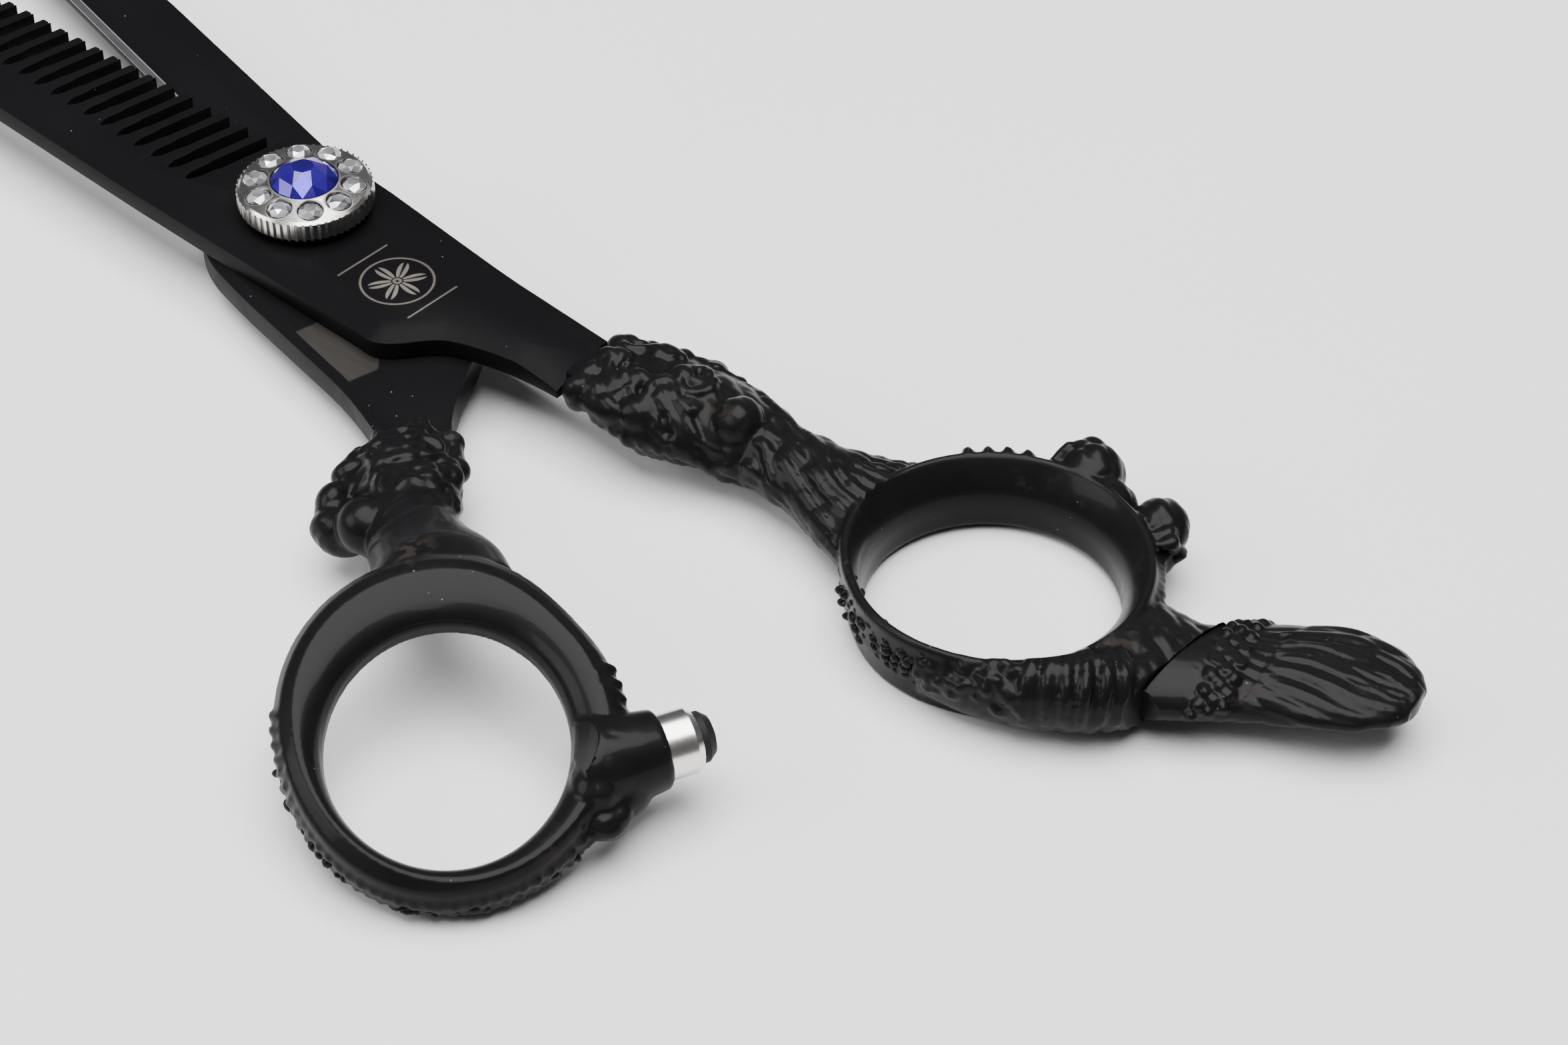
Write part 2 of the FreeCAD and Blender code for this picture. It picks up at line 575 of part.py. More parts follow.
def finger_handle():
    """Casting from the comb blade's shank to the finger ring and the root of the rest."""
    body = piece("finger_handle")
    bore = size("finger_bore") / 2
    wall = size("ring_wall")
    high = size("ring_height")
    flare = size("ring_flare")
    x = size("finger_x")
    y = size("finger_y")
    shoulder = -size("comb_shank_end")
    joint = size("rest_joint_x")

    ring = sketch_on(
        body, "XZ_Plane", "placement(vector(dims.finger_x; 0; -dims.finger_y); rotation(0; 0; 0))")
    add_runs(ring, [
        [(bore + 0.9, 0), (bore, 0.9)],
        [(bore, 0.9), (bore, 0.52 * high)],
        [(bore, 0.52 * high), (bore + 0.35 * flare, 0.77 * high), (bore + flare, high - 0.15)],
        [(bore + flare, high - 0.15), (bore + flare + 0.35, high), (bore + flare + 0.65, high - 0.4)],
        [(bore + flare + 0.65, high - 0.4), (bore + wall, 0.45 * high), (bore + wall - 0.3, 0.8)],
        [(bore + wall - 0.3, 0.8), (bore + wall - 0.9, 0)],
        [(bore + wall - 0.9, 0), (bore + 0.9, 0)],
    ])
    revolve(body, ring)

    neck = [
        (shoulder, -2.9, 6.3, 4.7, 2.9),
        (shoulder - 3, -4.2, 5.8, 5.5, 3.4),
        (shoulder - 8, -4.8, 5.4, 6.2, 3.8),
        (shoulder - 14, -6.0, 5.3, 5.5, 3.8),
        (shoulder - 20, -5.8, 5.1, 3.8, 3.3),
        (x + bore + wall + 4.5, -6.2, 4.7, 4.5, 3.3),
        (x + bore - 0.8, y, 4.2, 7.4, 3.2),
    ]
    loft(body, oval_sections(body, neck, 180))
    root = [
        (x - bore + 0.8, y + 0.6, 4.0, 7.4, 2.9),
        (x - bore - wall - 1, y + 0.2, 4.1, 6.2, 3.0),
        (joint, -8.9, 4.2, 5.2, 2.7),
    ]
    loft(body, oval_sections(body, root, 180))
    lump(body, (x + 1.5, y - bore - wall - 1.9, 5.0), 2.9)
    lump(body, (x - 8.4, y - bore - wall + 1.0, 5.0), 2.9)
    lump(body, (x - bore - wall + 0.6, y + 7.2, 4.3), 3.9)

    opening = sketch_on(
        body, "XY_Plane", "placement(vector(dims.finger_x; dims.finger_y; 0); rotation(0; 0; 0))")
    add_circle(opening, "dims.finger_bore / 2")
    extrude(body, opening, "8 * dims.ring_height", "PartDesign::Pocket", both_ways=True)

    funnel = sketch_on(
        body, "XZ_Plane", "placement(vector(dims.finger_x; 0; -dims.finger_y); rotation(0; 0; 0))")
    waist = 0.52 * high
    add_polygon(funnel, [
        (0, waist), (bore, waist), (bore + 0.35 * flare, 0.77 * high), (bore + flare, high - 0.15),
        (bore + flare, high + 4), (0, high + 4)])
    revolve(body, funnel, "PartDesign::Groove")

    gap = size("seat_gap")
    peg_low = size("peg_y") - gap
    socket = sketch_on(body, "XY_Plane", raised(f"{COMB_BASE} - dims.seat_gap"))
    deep = shoulder - size("peg_length") - gap
    peg_high = peg_low + size("peg_width") + 2 * gap
    add_polygon(socket, [
        (shoulder + 1, peg_low), (deep, peg_low), (deep, peg_high), (shoulder + 1, peg_high)])
    extrude(body, socket, "dims.comb_thickness + 2 * dims.seat_gap", "PartDesign::Pocket", backwards=True)
    stud_hole(body, "XY_Plane", backwards=False)


REST_STUD = ("dims.rest_joint_x", "-9.0", "4.2")


def stud_hole(body, role, backwards):
    """Half of the stud's hole, on one side of the joint face."""
    sketch = sketch_on(body, role, upright(REST_STUD, "180"))
    add_circle(sketch, "dims.stud_diameter / 2 + dims.seat_gap")
    extrude(body, sketch, "dims.stud_length / 2 + dims.seat_gap", "PartDesign::Pocket", backwards=backwards)


def finger_rest():
    """Cast tang behind the finger ring, with the stud that holds it."""
    body = piece("finger_rest")
    joint = size("rest_joint_x")
    length = size("rest_length")
    tang = [
        (joint, -8.9, 4.2, 5.2, 2.7),
        (joint - 0.22 * length, -12.2, 4.3, 5.7, 2.5),
        (joint - 0.42 * length, -14.8, 4.5, 6.2, 2.2),
        (joint - 0.63 * length, -16.8, 4.8, 6.2, 2.0),
        (joint - 0.84 * length, -17.7, 5.0, 5.0, 1.7),
        (joint - length, -18.2, 5.1, 2.0, 0.9),
    ]
    loft(body, oval_sections(body, tang, 180))
    stud_hole(body, "XY_Plane", backwards=True)

    stud = piece("finger_rest_stud")
    sketch = sketch_on(stud, "XY_Plane", upright(REST_STUD, "180"))
    add_circle(sketch, "dims.stud_diameter / 2")
    extrude(stud, sketch, "dims.stud_length", both_ways=True)


# ---------------------------------------------------------------- thumb handle

RING_PLANE = ("placement(vector(dims.thumb_x; dims.thumb_y; dims.thumb_z);"
              " rotation(dims.thumb_turn; dims.thumb_tilt; 0))")


def ring_plane(shift):
    """The thumb ring's own plane, moved along the ring's axis."""
    return f"{RING_PLANE} * placement(vector(0; 0; {shift}); rotation(0; 0; 0))"


def bumper_frame(along):
    """A sketch plane square to the bumper axis, at a distance beyond the boss's end."""
    turn = "dims.bumper_turn"
    at = (
        f"dims.bumper_x + ({along}) * cos({turn} * 1deg)",
        f"dims.bumper_y + ({along}) * sin({turn} * 1deg)", "dims.bumper_z")
    return upright(at, turn)


def thumb_handle():
    """Casting from the plain blade's shank to the leaning thumb ring, with the bumper boss."""
    body = piece("thumb_handle", opened=True)
    wall = size("thumb_wall")
    long_half = size("thumb_long") / 2
    wide_half = size("thumb_wide") / 2
    high = size("thumb_height")
    middle = Vector(size("thumb_x"), size("thumb_y"), size("thumb_z"))

    def ring_ovals(levels):
        sketches = []
        for shift, grow in levels:
            sketch = sketch_on(body, "XY_Plane", ring_plane(shift))
            add_ellipse(sketch, long_half + grow, wide_half + grow)
            sketches.append(sketch)
        return sketches

    loft(body, ring_ovals([(-high / 2, wall - 1.3), (-0.3 * high, wall + 0.2), (0, wall + 0.5),
                           (0.3 * high, wall + 0.2), (high / 2, wall - 0.9)]))

    boss = body.newObject("PartDesign::AdditiveCone", "bumper_boss")
    plane = next(item for item in body.Origin.OriginFeatures if item.Role == "XY_Plane")
    boss.AttachmentSupport = (plane, [""])
    boss.MapMode = "FlatFace"
    boss.setExpression("AttachmentOffset", bumper_frame("-dims.boss_length"))
    boss.setExpression("Radius1", "dims.boss_diameter / 2 + 0.3")
    boss.setExpression("Radius2", "dims.boss_diameter / 2")
    boss.setExpression("Height", "dims.boss_length")
    DOC.recompute()

    turn = size("plain_shank_turn")
    start = shank_point(0, 0)
    far_end = middle - polar(long_half * math.cos(math.radians(size("thumb_tilt"))), size("thumb_turn"))
    rise = long_half * math.sin(math.radians(size("thumb_tilt")))
    stations = [
        (start[0], start[1], 4.3, 3.7, 2.7),
        (-36.4, 11.4, 5.4, 5.2, 3.4),
        (-44.4, 15.0, 7.2, 4.4, 3.2),
        (-51.2, 17.0, 9.3, 6.4, 3.4),
        (far_end.x + 1.6, far_end.y - 1.2, middle.z + rise, 8.4, 3.7),
    ]
    loft(body, oval_sections(body, stations, turn))
    lump(body, (-39.8, 18.0, 6.6), 3.3)
    lump(body, (-35.6, 18.6, 6.0), 2.5)

    opening = ring_ovals([(0, 0)])[0]
    extrude(body, opening, "4 * dims.thumb_height", "PartDesign::Pocket", both_ways=True)
    loft(body, ring_ovals([(0.1 * high, -0.1), (0.9 * high, 2.6)]), "PartDesign::SubtractiveLoft")

    gap = size("seat_gap")
    peg = size("peg_width") / 2 + gap
    deep = size("peg_length") + gap
    socket = sketch_on(body, "XY_Plane", raised(f"{PLAIN_BASE} - dims.seat_gap"))
    add_polygon(socket, [
        shank_point(-1, peg), shank_point(deep, peg), shank_point(deep, -peg), shank_point(-1, -peg)])
    extrude(body, socket, "dims.plain_thickness + 2 * dims.seat_gap", "PartDesign::Pocket", backwards=True)

    screw_hole = sketch_on(body, "XY_Plane", bumper_frame("1"))
    add_circle(screw_hole, "dims.bumper_screw_diameter / 2 + dims.seat_gap")
    extrude(body, screw_hole, "dims.boss_length + 4", "PartDesign::Pocket")


def bumper():
    """Sleeve, rubber pad and the screw that holds both on the boss."""
    sleeve_radius = size("sleeve_diameter") / 2
    pad_radius = size("pad_diameter") / 2
    length = size("sleeve_length")
    proud = size("pad_proud")
    shank = size("bumper_screw_diameter") / 2
    hole = shank + size("seat_gap")
    floor = 1.0
    parts = (
        ("bumper_sleeve", [
            (hole, 0), (sleeve_radius, 0), (sleeve_radius, length - 0.6), (pad_radius + 0.15, length),
            (pad_radius + 0.05, length), (pad_radius + 0.05, floor), (hole, floor)]),
        ("bumper_pad", [
            (0, floor + 0.75), (pad_radius, floor + 0.75), (pad_radius, length + 0.4 * proud),
            (0.75 * pad_radius, length + 0.85 * proud), (0.4 * pad_radius, length + proud),
            (0, length + proud)]),
        ("bumper_screw", [
            (0, -6.5), (shank, -6.5), (shank, floor + 0.02), (1.8, floor + 0.02), (1.8, floor + 0.7),
            (0, floor + 0.7)]),
    )
    for label, profile in parts:
        body = piece(label, opened=True)
        frame = f"{bumper_frame('0')} * placement(vector(0; 0; 0); rotation(0; 0; 90))"
        sketch = sketch_on(body, "XY_Plane", frame)
        add_polygon(sketch, profile)
        revolve(body, sketch)


comb_blade()
plain_blade()
pivot_stack()
knob()
finger_handle()
finger_rest()
thumb_handle()
bumper()
DOC.recompute()

for item in DOC.Objects:
    if "Invalid" in item.State or "Error" in item.State:
        raise RuntimeError(f"{item.Name} failed: {item.State}")
for node in NODES:
    if node.Shape.isNull() or not node.Shape.isValid():
        raise RuntimeError(f"{node.Label} has no valid shape")

os.makedirs("parts", exist_ok=True)
for node in NODES:
    node.Shape.exportStep(f"parts/{node.Label}.step")
    box = node.Shape.BoundBox
    print(f"{node.Label:18s} solids {len(node.Shape.Solids):2d} volume {node.Shape.Volume:9.2f}"
          f"  x {box.XMin:7.2f} {box.XMax:7.2f}  y {box.YMin:7.2f} {box.YMax:7.2f}"
          f"  z {box.ZMin:6.2f} {box.ZMax:6.2f}")
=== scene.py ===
# %% [markdown]
# # Thinning shears: the look of a black, cast-handled pair
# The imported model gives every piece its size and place. This lesson adds what the eye sees: soft
# forged edges, handles cast in relief, a knurled knob with cut stones, and the finishes of each.
# We load the frame first, because every later step asks it for positions and bodies.

import math

import bmesh
import bpy
import numpy as np
from mathutils import Matrix, Vector


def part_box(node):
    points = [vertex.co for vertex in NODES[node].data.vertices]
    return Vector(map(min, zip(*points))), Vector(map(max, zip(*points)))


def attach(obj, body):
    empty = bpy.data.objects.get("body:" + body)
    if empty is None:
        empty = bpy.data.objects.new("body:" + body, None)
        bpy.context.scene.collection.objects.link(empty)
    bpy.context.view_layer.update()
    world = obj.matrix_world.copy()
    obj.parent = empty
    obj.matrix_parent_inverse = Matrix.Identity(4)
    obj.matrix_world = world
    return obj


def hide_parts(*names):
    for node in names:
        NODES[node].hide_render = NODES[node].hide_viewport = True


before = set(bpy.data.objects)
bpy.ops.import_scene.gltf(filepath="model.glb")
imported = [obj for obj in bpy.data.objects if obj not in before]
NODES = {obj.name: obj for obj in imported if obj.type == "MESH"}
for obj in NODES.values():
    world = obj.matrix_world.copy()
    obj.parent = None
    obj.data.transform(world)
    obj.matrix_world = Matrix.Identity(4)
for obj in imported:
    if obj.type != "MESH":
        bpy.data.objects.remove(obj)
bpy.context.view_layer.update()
MM = 0.001
OPENED = 12.5  # degrees the thumb half stands open at rest
STRAIGHT = math.pi / 2
ROUND = 2 * math.pi

# %% [markdown]
# ## Camera, light and table
# A long lens from above the handles keeps the shears nearly free of perspective. The table is plain
# and pale. Small shiny black forms show only what they mirror, so one wide soft lamp hangs
# overhead, one stands beyond the blades, a faint one stands low across the table, and the room is
# dim so that the flat faces stay black.

# %% Camera
def linked(name, data):
    """A new object in the scene."""
    item = bpy.data.objects.new(name, data)
    bpy.context.scene.collection.objects.link(item)
    return item


def look_at(name, data, place, target):
    """A lamp or camera at a place, facing a target."""
    item = linked(name, data)
    item.location = place
    item.rotation_euler = (Vector(target) - Vector(place)).to_track_quat("-Z", "Y").to_euler()
    return item


CENTRE = (-0.05, 0.0, 0.0)
lens = bpy.data.cameras.new("view")
lens.lens = 85.7
lens.sensor_width = 36.0
lens.clip_start = 0.01
camera = look_at("view", lens, (-0.22391, 0.18083, 0.224), (-0.05832, -0.00308, 0.0012))
bpy.context.scene.camera = camera
print("camera distance", round((camera.location - Vector(CENTRE)).length, 3), "m")

# %% Lamps
for name, place, width, depth, power in (
        ("lamp_overhead", (-0.06, 0.0, 0.75), 0.8, 0.8, 19.5),
        ("lamp_left", (0.35, 0.55, 0.45), 0.5, 0.4, 3.8),
        ("lamp_behind", (0.1, -0.6, 0.28), 0.5, 0.16, 0.12)):
    lamp = bpy.data.lights.new(name, "AREA")
    lamp.shape = "RECTANGLE"
    lamp.size = width
    lamp.size_y = depth
    lamp.energy = power
    look_at(name, lamp, place, CENTRE)
room = bpy.data.worlds.new("room")
room.use_nodes = True
walls = room.node_tree.nodes["Background"]
walls.inputs["Color"].default_value = (0.93, 0.95, 1.0, 1)
walls.inputs["Strength"].default_value = 0.1
bpy.context.scene.world = room

# %% [markdown]
# ## Shader sums in Python
# Procedural finishes are sums of patterns. A small class wraps a socket so that `1 - mask * 0.5`
# adds its own Math nodes, which reads better than a list of nodes and links.

# %% Socket arithmetic
class Value:
    """A shader number that takes part in Python sums."""

    def __init__(self, finish, socket):
        self.finish = finish
        self.socket = socket

    def maths(self, operation, *others):
        """A Math node on this value and any others."""
        return self.finish.maths(operation, self, *others)

    def __add__(self, other): return self.maths("ADD", other)
    def __radd__(self, other): return self.finish.maths("ADD", other, self)
    def __sub__(self, other): return self.maths("SUBTRACT", other)
    def __rsub__(self, other): return self.finish.maths("SUBTRACT", other, self)
    def __mul__(self, other): return self.maths("MULTIPLY", other)
    def __rmul__(self, other): return self.finish.maths("MULTIPLY", other, self)
    def __truediv__(self, other): return self.maths("DIVIDE", other)
    def __rtruediv__(self, other): return self.finish.maths("DIVIDE", other, self)

    def near(self, centre, width):
        """1 at the centre, falling to 0 at this distance from it."""
        return (1 - (self - centre).maths("ABSOLUTE") / width).clamped()

    def above(self, edge, soft):
        """0 below the edge, 1 a little above it."""
        return ((self - edge) / soft).clamped()

    def below(self, edge, soft):
        """1 below the edge, 0 a little past it."""
        return ((edge - self) / soft).clamped()

    def clamped(self):
        """Kept between 0 and 1."""
        return self.finish.node("ShaderNodeClamp", {0: self})


print("shader sums ready")

# %% [markdown]
# A Finish holds one material. Shader trees and geometry trees gain nodes the same way, so one
# function adds any node: its settings first, because they can change its sockets.

# %% Nodes and finishes
def node_in(tree, kind, sockets=None, output=0, stops=(), **settings):
    """Add a node: settings and ramp stops, then values or links. Returns one output."""
    item = tree.nodes.new(kind)
    for label, amount in settings.items():
        setattr(item, label, amount)
    while stops and len(item.color_ramp.elements) < len(stops):
        item.color_ramp.elements.new(1.0)
    for number, (place, colour) in enumerate(stops):
        item.color_ramp.elements[number].position = place
        item.color_ramp.elements[number].color = (*colour, 1)
    for label, amount in (sockets or {}).items():
        if isinstance(amount, bpy.types.NodeSocket):
            tree.links.new(amount, item.inputs[label])
        else:
            item.inputs[label].default_value = amount
    return item.outputs[output]


class Finish:
    """One material: a Principled shader and the patterns that feed it."""

    def __init__(self, name, **constants):
        self.material = bpy.data.materials.new(name)
        self.material.use_nodes = True
        self.tree = self.material.node_tree
        self.shader = self.tree.nodes["Principled BSDF"]
        for label, amount in constants.items():
            self.shader.inputs[label.replace("_", " ")].default_value = amount
        self.place = self.node("ShaderNodeTexCoord", output="Object")

    def node(self, kind, sockets=None, output=0, **settings):
        """Any shader node, from numbers, colours and Values."""
        bare = {label: getattr(amount, "socket", amount)
                for label, amount in (sockets or {}).items()}
        return Value(self, node_in(self.tree, kind, bare, output, **settings))

    def maths(self, operation, *values):
        """A Math node on numbers and Values."""
        return self.node("ShaderNodeMath", dict(enumerate(values)), operation=operation)

    def feed(self, **patterns):
        """Link patterns to the shader's sockets."""
        for label, pattern in patterns.items():
            self.tree.links.new(pattern.socket, self.shader.inputs[label.replace("_", " ")])

    def noise(self, scale, detail=3.0, rough=0.5, at=None):
        """Soft cloudy noise."""
        return self.node("ShaderNodeTexNoise", {
            "Vector": at or self.place, "Scale": scale, "Detail": detail, "Roughness": rough})

    def cells(self, scale):
        """Distance to the nearest of many scattered points."""
        return self.node("ShaderNodeTexVoronoi", {"Vector": self.place, "Scale": scale},
                         output="Distance")

    def turned(self, degrees, scale=(1, 1, 1)):
        """Object coordinates turned about Z and stretched."""
        return self.node("ShaderNodeMapping", {
            "Vector": self.place, "Rotation": (0, 0, math.radians(degrees)), "Scale": scale})

    def axes(self, at=None):
        """The three coordinates as separate values."""
        split = self.node("ShaderNodeSeparateXYZ", {0: at or self.place}).socket.node
        return [Value(self, output) for output in split.outputs]

    def mix(self, factor, first, second):
        """Blend two colours."""
        first, second = ((*c, 1) if isinstance(c, tuple) else c for c in (first, second))
        return self.node("ShaderNodeMix", {0: factor, 6: first, 7: second}, output=2,
                         data_type="RGBA")

    def bump(self, height, distance, strength):
        """Fine relief of this distance in metres."""
        self.feed(Normal=self.node("ShaderNodeBump", {
            "Height": height, "Distance": distance, "Strength": strength}))

    def wear(self, item):
        """Put this finish on a piece."""
        item.data.materials.clear()
        item.data.materials.append(self.material)


print("finishes ready")

# %% [markdown]
# ## The coated blades
# The steel has a thin satin black coating over a fine ground surface. Under strong light it shows
# pale dust specks, a faint grain along the blade, and lighter places at edges. The comb blade also
# carries an etched ornament behind the pivot: here a plain rosette between two rules, cut through
# to warm grey metal. A rosette is quick to write in polar terms, so it needs no drawing.

# %% Satin black coating
def satin(name):
    """Satin black with grain and dust; returns the finish, its colour and its roughness."""
    finish = Finish(name, IOR=1.45, Specular_IOR_Level=0.04, Coat_Roughness=0.3)
    grain = finish.noise(900, 4, 0.6, finish.turned(0, (0.25, 1, 1)))
    broad = finish.noise(60, 3)
    speck = finish.cells(620).below(0.05, 0.02) * finish.noise(120, 2).above(0.5, 0.1)
    base = finish.mix(broad, (0.003, 0.003, 0.0035), (0.006, 0.0058, 0.0064))
    colour = finish.mix(speck * 0.55, base, (0.33, 0.34, 0.36))
    rough = 0.34 + grain * 0.1 + speck * 0.3
    finish.bump(grain + speck * 2, 0.00001, 0.5)
    return finish, colour, rough


def ornament(finish):
    """An etched rosette between two rules, behind the pivot."""
    x, y, z = finish.axes()
    across = (x + 0.0145) * 1000
    along = (y - 0.0020) * 1000
    radius = (across * across + along * along).maths("SQRT")
    turn = along.maths("ARCTAN2", across) * 3.0
    leaf = (turn.maths("COSINE").maths("ABSOLUTE") * 2.9 - radius).above(0.0, 0.12)
    vein = turn.maths("SINE").maths("ABSOLUTE").above(0.16, 0.08)
    petals = leaf * radius.above(0.55, 0.1) * vein
    circles = radius.near(3.45, 0.16) + radius.near(0.3, 0.22)
    rules = (x * 1000 + 19.2).near(0.0, 0.14) + (x * 1000 + 9.8).near(0.0, 0.14)
    mark = petals + circles + rules * along.maths("ABSOLUTE").below(3.2, 0.1)
    return mark.clamped() * z.above(0.0079, 0.0003)


comb_satin, colour, rough = satin("comb_satin")
mark = ornament(comb_satin)
frosting = comb_satin.noise(2500, 2)
colour = comb_satin.mix(mark * (0.55 + frosting * 0.4), colour, (0.19, 0.17, 0.15))
comb_satin.feed(Base_Color=colour, Roughness=rough + mark * 0.1, Metallic=mark * 0.6)
print("comb coating with its etched rosette")

# %% [markdown]
# The plain blade rides against the comb. Its cutting edge is honed bright in a narrow line, and the
# heel is relieved to brownish bare steel. Both follow the blade, which lies turned open about the
# pivot, so the pattern is read in coordinates turned back by that angle.

# %% Plain blade finish
blade_satin, colour, rough = satin("blade_satin")
x, y, z = blade_satin.axes(blade_satin.turned(OPENED))
ride = z.above(0.00572, 0.00003)
honed = y.above(-0.0004, 0.00015) * x.above(0.0125, 0.001) * ride
ground = x.near(-0.0172, 0.0062) * y.above(0.0035, 0.002) * y.below(0.0118, 0.001)
ground = (ground * ride).above(0.25, 0.05)
lines = blade_satin.noise(700, 3, 0.6, blade_satin.turned(OPENED + 30, (0.1, 1, 1)))
steel = blade_satin.mix(lines, (0.035, 0.03, 0.027), (0.12, 0.11, 0.1))
colour = blade_satin.mix(ground * 0.55, colour, steel)
colour = blade_satin.mix(honed, colour, (0.62, 0.62, 0.63))
blade_satin.feed(Base_Color=colour, Roughness=rough - honed * 0.12,
                 Metallic=(honed + ground * 0.7).clamped())
print("plain blade coating with its honed edge")

# %% [markdown]
# ## Forged edges
# The solid model has exact edges, and real coated steel has softened ones that catch a thin light.
# A copy of each blade is welded and dissolved to plain faces, then a Bevel modifier rounds what is
# sharper than thirty degrees. The copy replaces the solid; the solid keeps its part in collisions,
# hidden.

# %% Soften the blades
def baked(item, smooth=True):
    """Replace an object's mesh by what its modifiers make of it."""
    graph = bpy.context.evaluated_depsgraph_get()
    mesh = bpy.data.meshes.new_from_object(item.evaluated_get(graph))
    item.modifiers.clear()
    item.data = mesh
    if smooth:
        mesh.shade_smooth()
    print(item.name, len(mesh.polygons), "faces")
    return mesh


def handed_over(item, finish, body, node=None):
    """Give a piece its finish, what it rides on, and the solid it stands for."""
    if finish:
        finish.wear(item)
    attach(item, body)
    if node:
        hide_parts(node)


def softened(node, name, width, finish, body):
    """A copy of a solid with small rounded edges."""
    mesh = NODES[node].data.copy()
    form = bmesh.new()
    form.from_mesh(mesh)
    bmesh.ops.remove_doubles(form, verts=form.verts, dist=0.000002)
    bmesh.ops.dissolve_limit(form, angle_limit=math.radians(1.0), verts=form.verts,
                             edges=form.edges)
    form.to_mesh(mesh)
    form.free()
    item = linked(name, mesh)
    bevel = item.modifiers.new("soft_edges", "BEVEL")
    bevel.width = width
    bevel.segments = 3
    bevel.limit_method = "ANGLE"
    bevel.angle_limit = math.radians(30)
    baked(item).set_sharp_from_angle(angle=math.radians(35))
    handed_over(item, finish, body, node)


softened("comb_blade", "comb_blade_soft", 0.00022, comb_satin, "finger_half")
softened("plain_blade", "plain_blade_soft", 0.00018, blade_satin, "thumb_half")

# %% [markdown]
# ## A kit for cast relief
# The handles are lost-wax castings: every form melts into the next. A wax carver builds them from
# limbs, balls, strands and curls pressed together, and so do we. Each shape is a simple closed
# mesh. A voxel Remesh fuses them into one skin, and Smooth rounds the joins as coating does.
# Positions are in millimetres in the shears' own frame.

# %% Simple closed shapes
class Wax:
    """Closed shapes that will be fused into one casting."""

    def __init__(self):
        self.points = []
        self.faces = []
        self.count = 0

    def rings(self, loops, closed=False):
        """Skin a row of loops with equal numbers of points; open ends are capped."""
        loops = np.asarray(loops, float)
        rows, sides = loops.shape[:2]
        faces = []
        for row in range(rows if closed else rows - 1):
            after = (row + 1) % rows
            for side in range(sides):
                beside = (side + 1) % sides
                faces.append((row * sides + side, row * sides + beside,
                              after * sides + beside, after * sides + side))
        if not closed:
            faces.append(tuple(reversed(range(sides))))
            faces.append(tuple((rows - 1) * sides + side for side in range(sides)))
        self.points.append(loops.reshape(-1, 3))
        self.faces += [tuple(self.count + index for index in face) for face in faces]
        self.count += rows * sides

    def ball(self, centre, radii, turn=0.0, rows=10, sides=16):
        """A ball or egg, turned about Z by degrees."""
        angle = math.radians(turn)
        around = np.linspace(0, ROUND, sides, endpoint=False)
        loops = []
        for lift in np.linspace(0.05 - STRAIGHT, STRAIGHT - 0.05, rows):
            x = radii[0] * math.cos(lift) * np.cos(around)
            y = radii[1] * math.cos(lift) * np.sin(around)
            z = np.full(sides, radii[2] * math.sin(lift))
            loops.append(np.stack([
                centre[0] + x * math.cos(angle) - y * math.sin(angle),
                centre[1] + x * math.sin(angle) + y * math.cos(angle), centre[2] + z], -1))
        self.rings(loops)

    def balls(self, *rows):
        """Several balls: (centre, radii, turn) each."""
        for row in rows:
            self.ball(*row)

    def tube(self, path, radii, sides=8):
        """A round strand along a path, its radius given at each point."""
        path = np.asarray(path, float)
        radii = np.broadcast_to(radii, len(path))
        along = np.gradient(path, axis=0)
        along /= np.linalg.norm(along, axis=1)[:, None] + 1e-9
        side = np.cross(along, (0, 0, 1.0))
        side /= np.linalg.norm(side, axis=1)[:, None] + 1e-9
        up = np.cross(side, along)
        around = np.linspace(0, ROUND, sides, endpoint=False)
        self.rings([
            point + radius * (np.outer(np.cos(around), right) + np.outer(np.sin(around), high))
            for point, radius, right, high in zip(path, radii, side, up)])


print("wax kit ready")

# %% [markdown]
# A limb is a run of ovals, like the CAD model's lofts, but it can also say where any place on its
# surface is: how far along, and at what angle round. Strands and curls then lie on it.

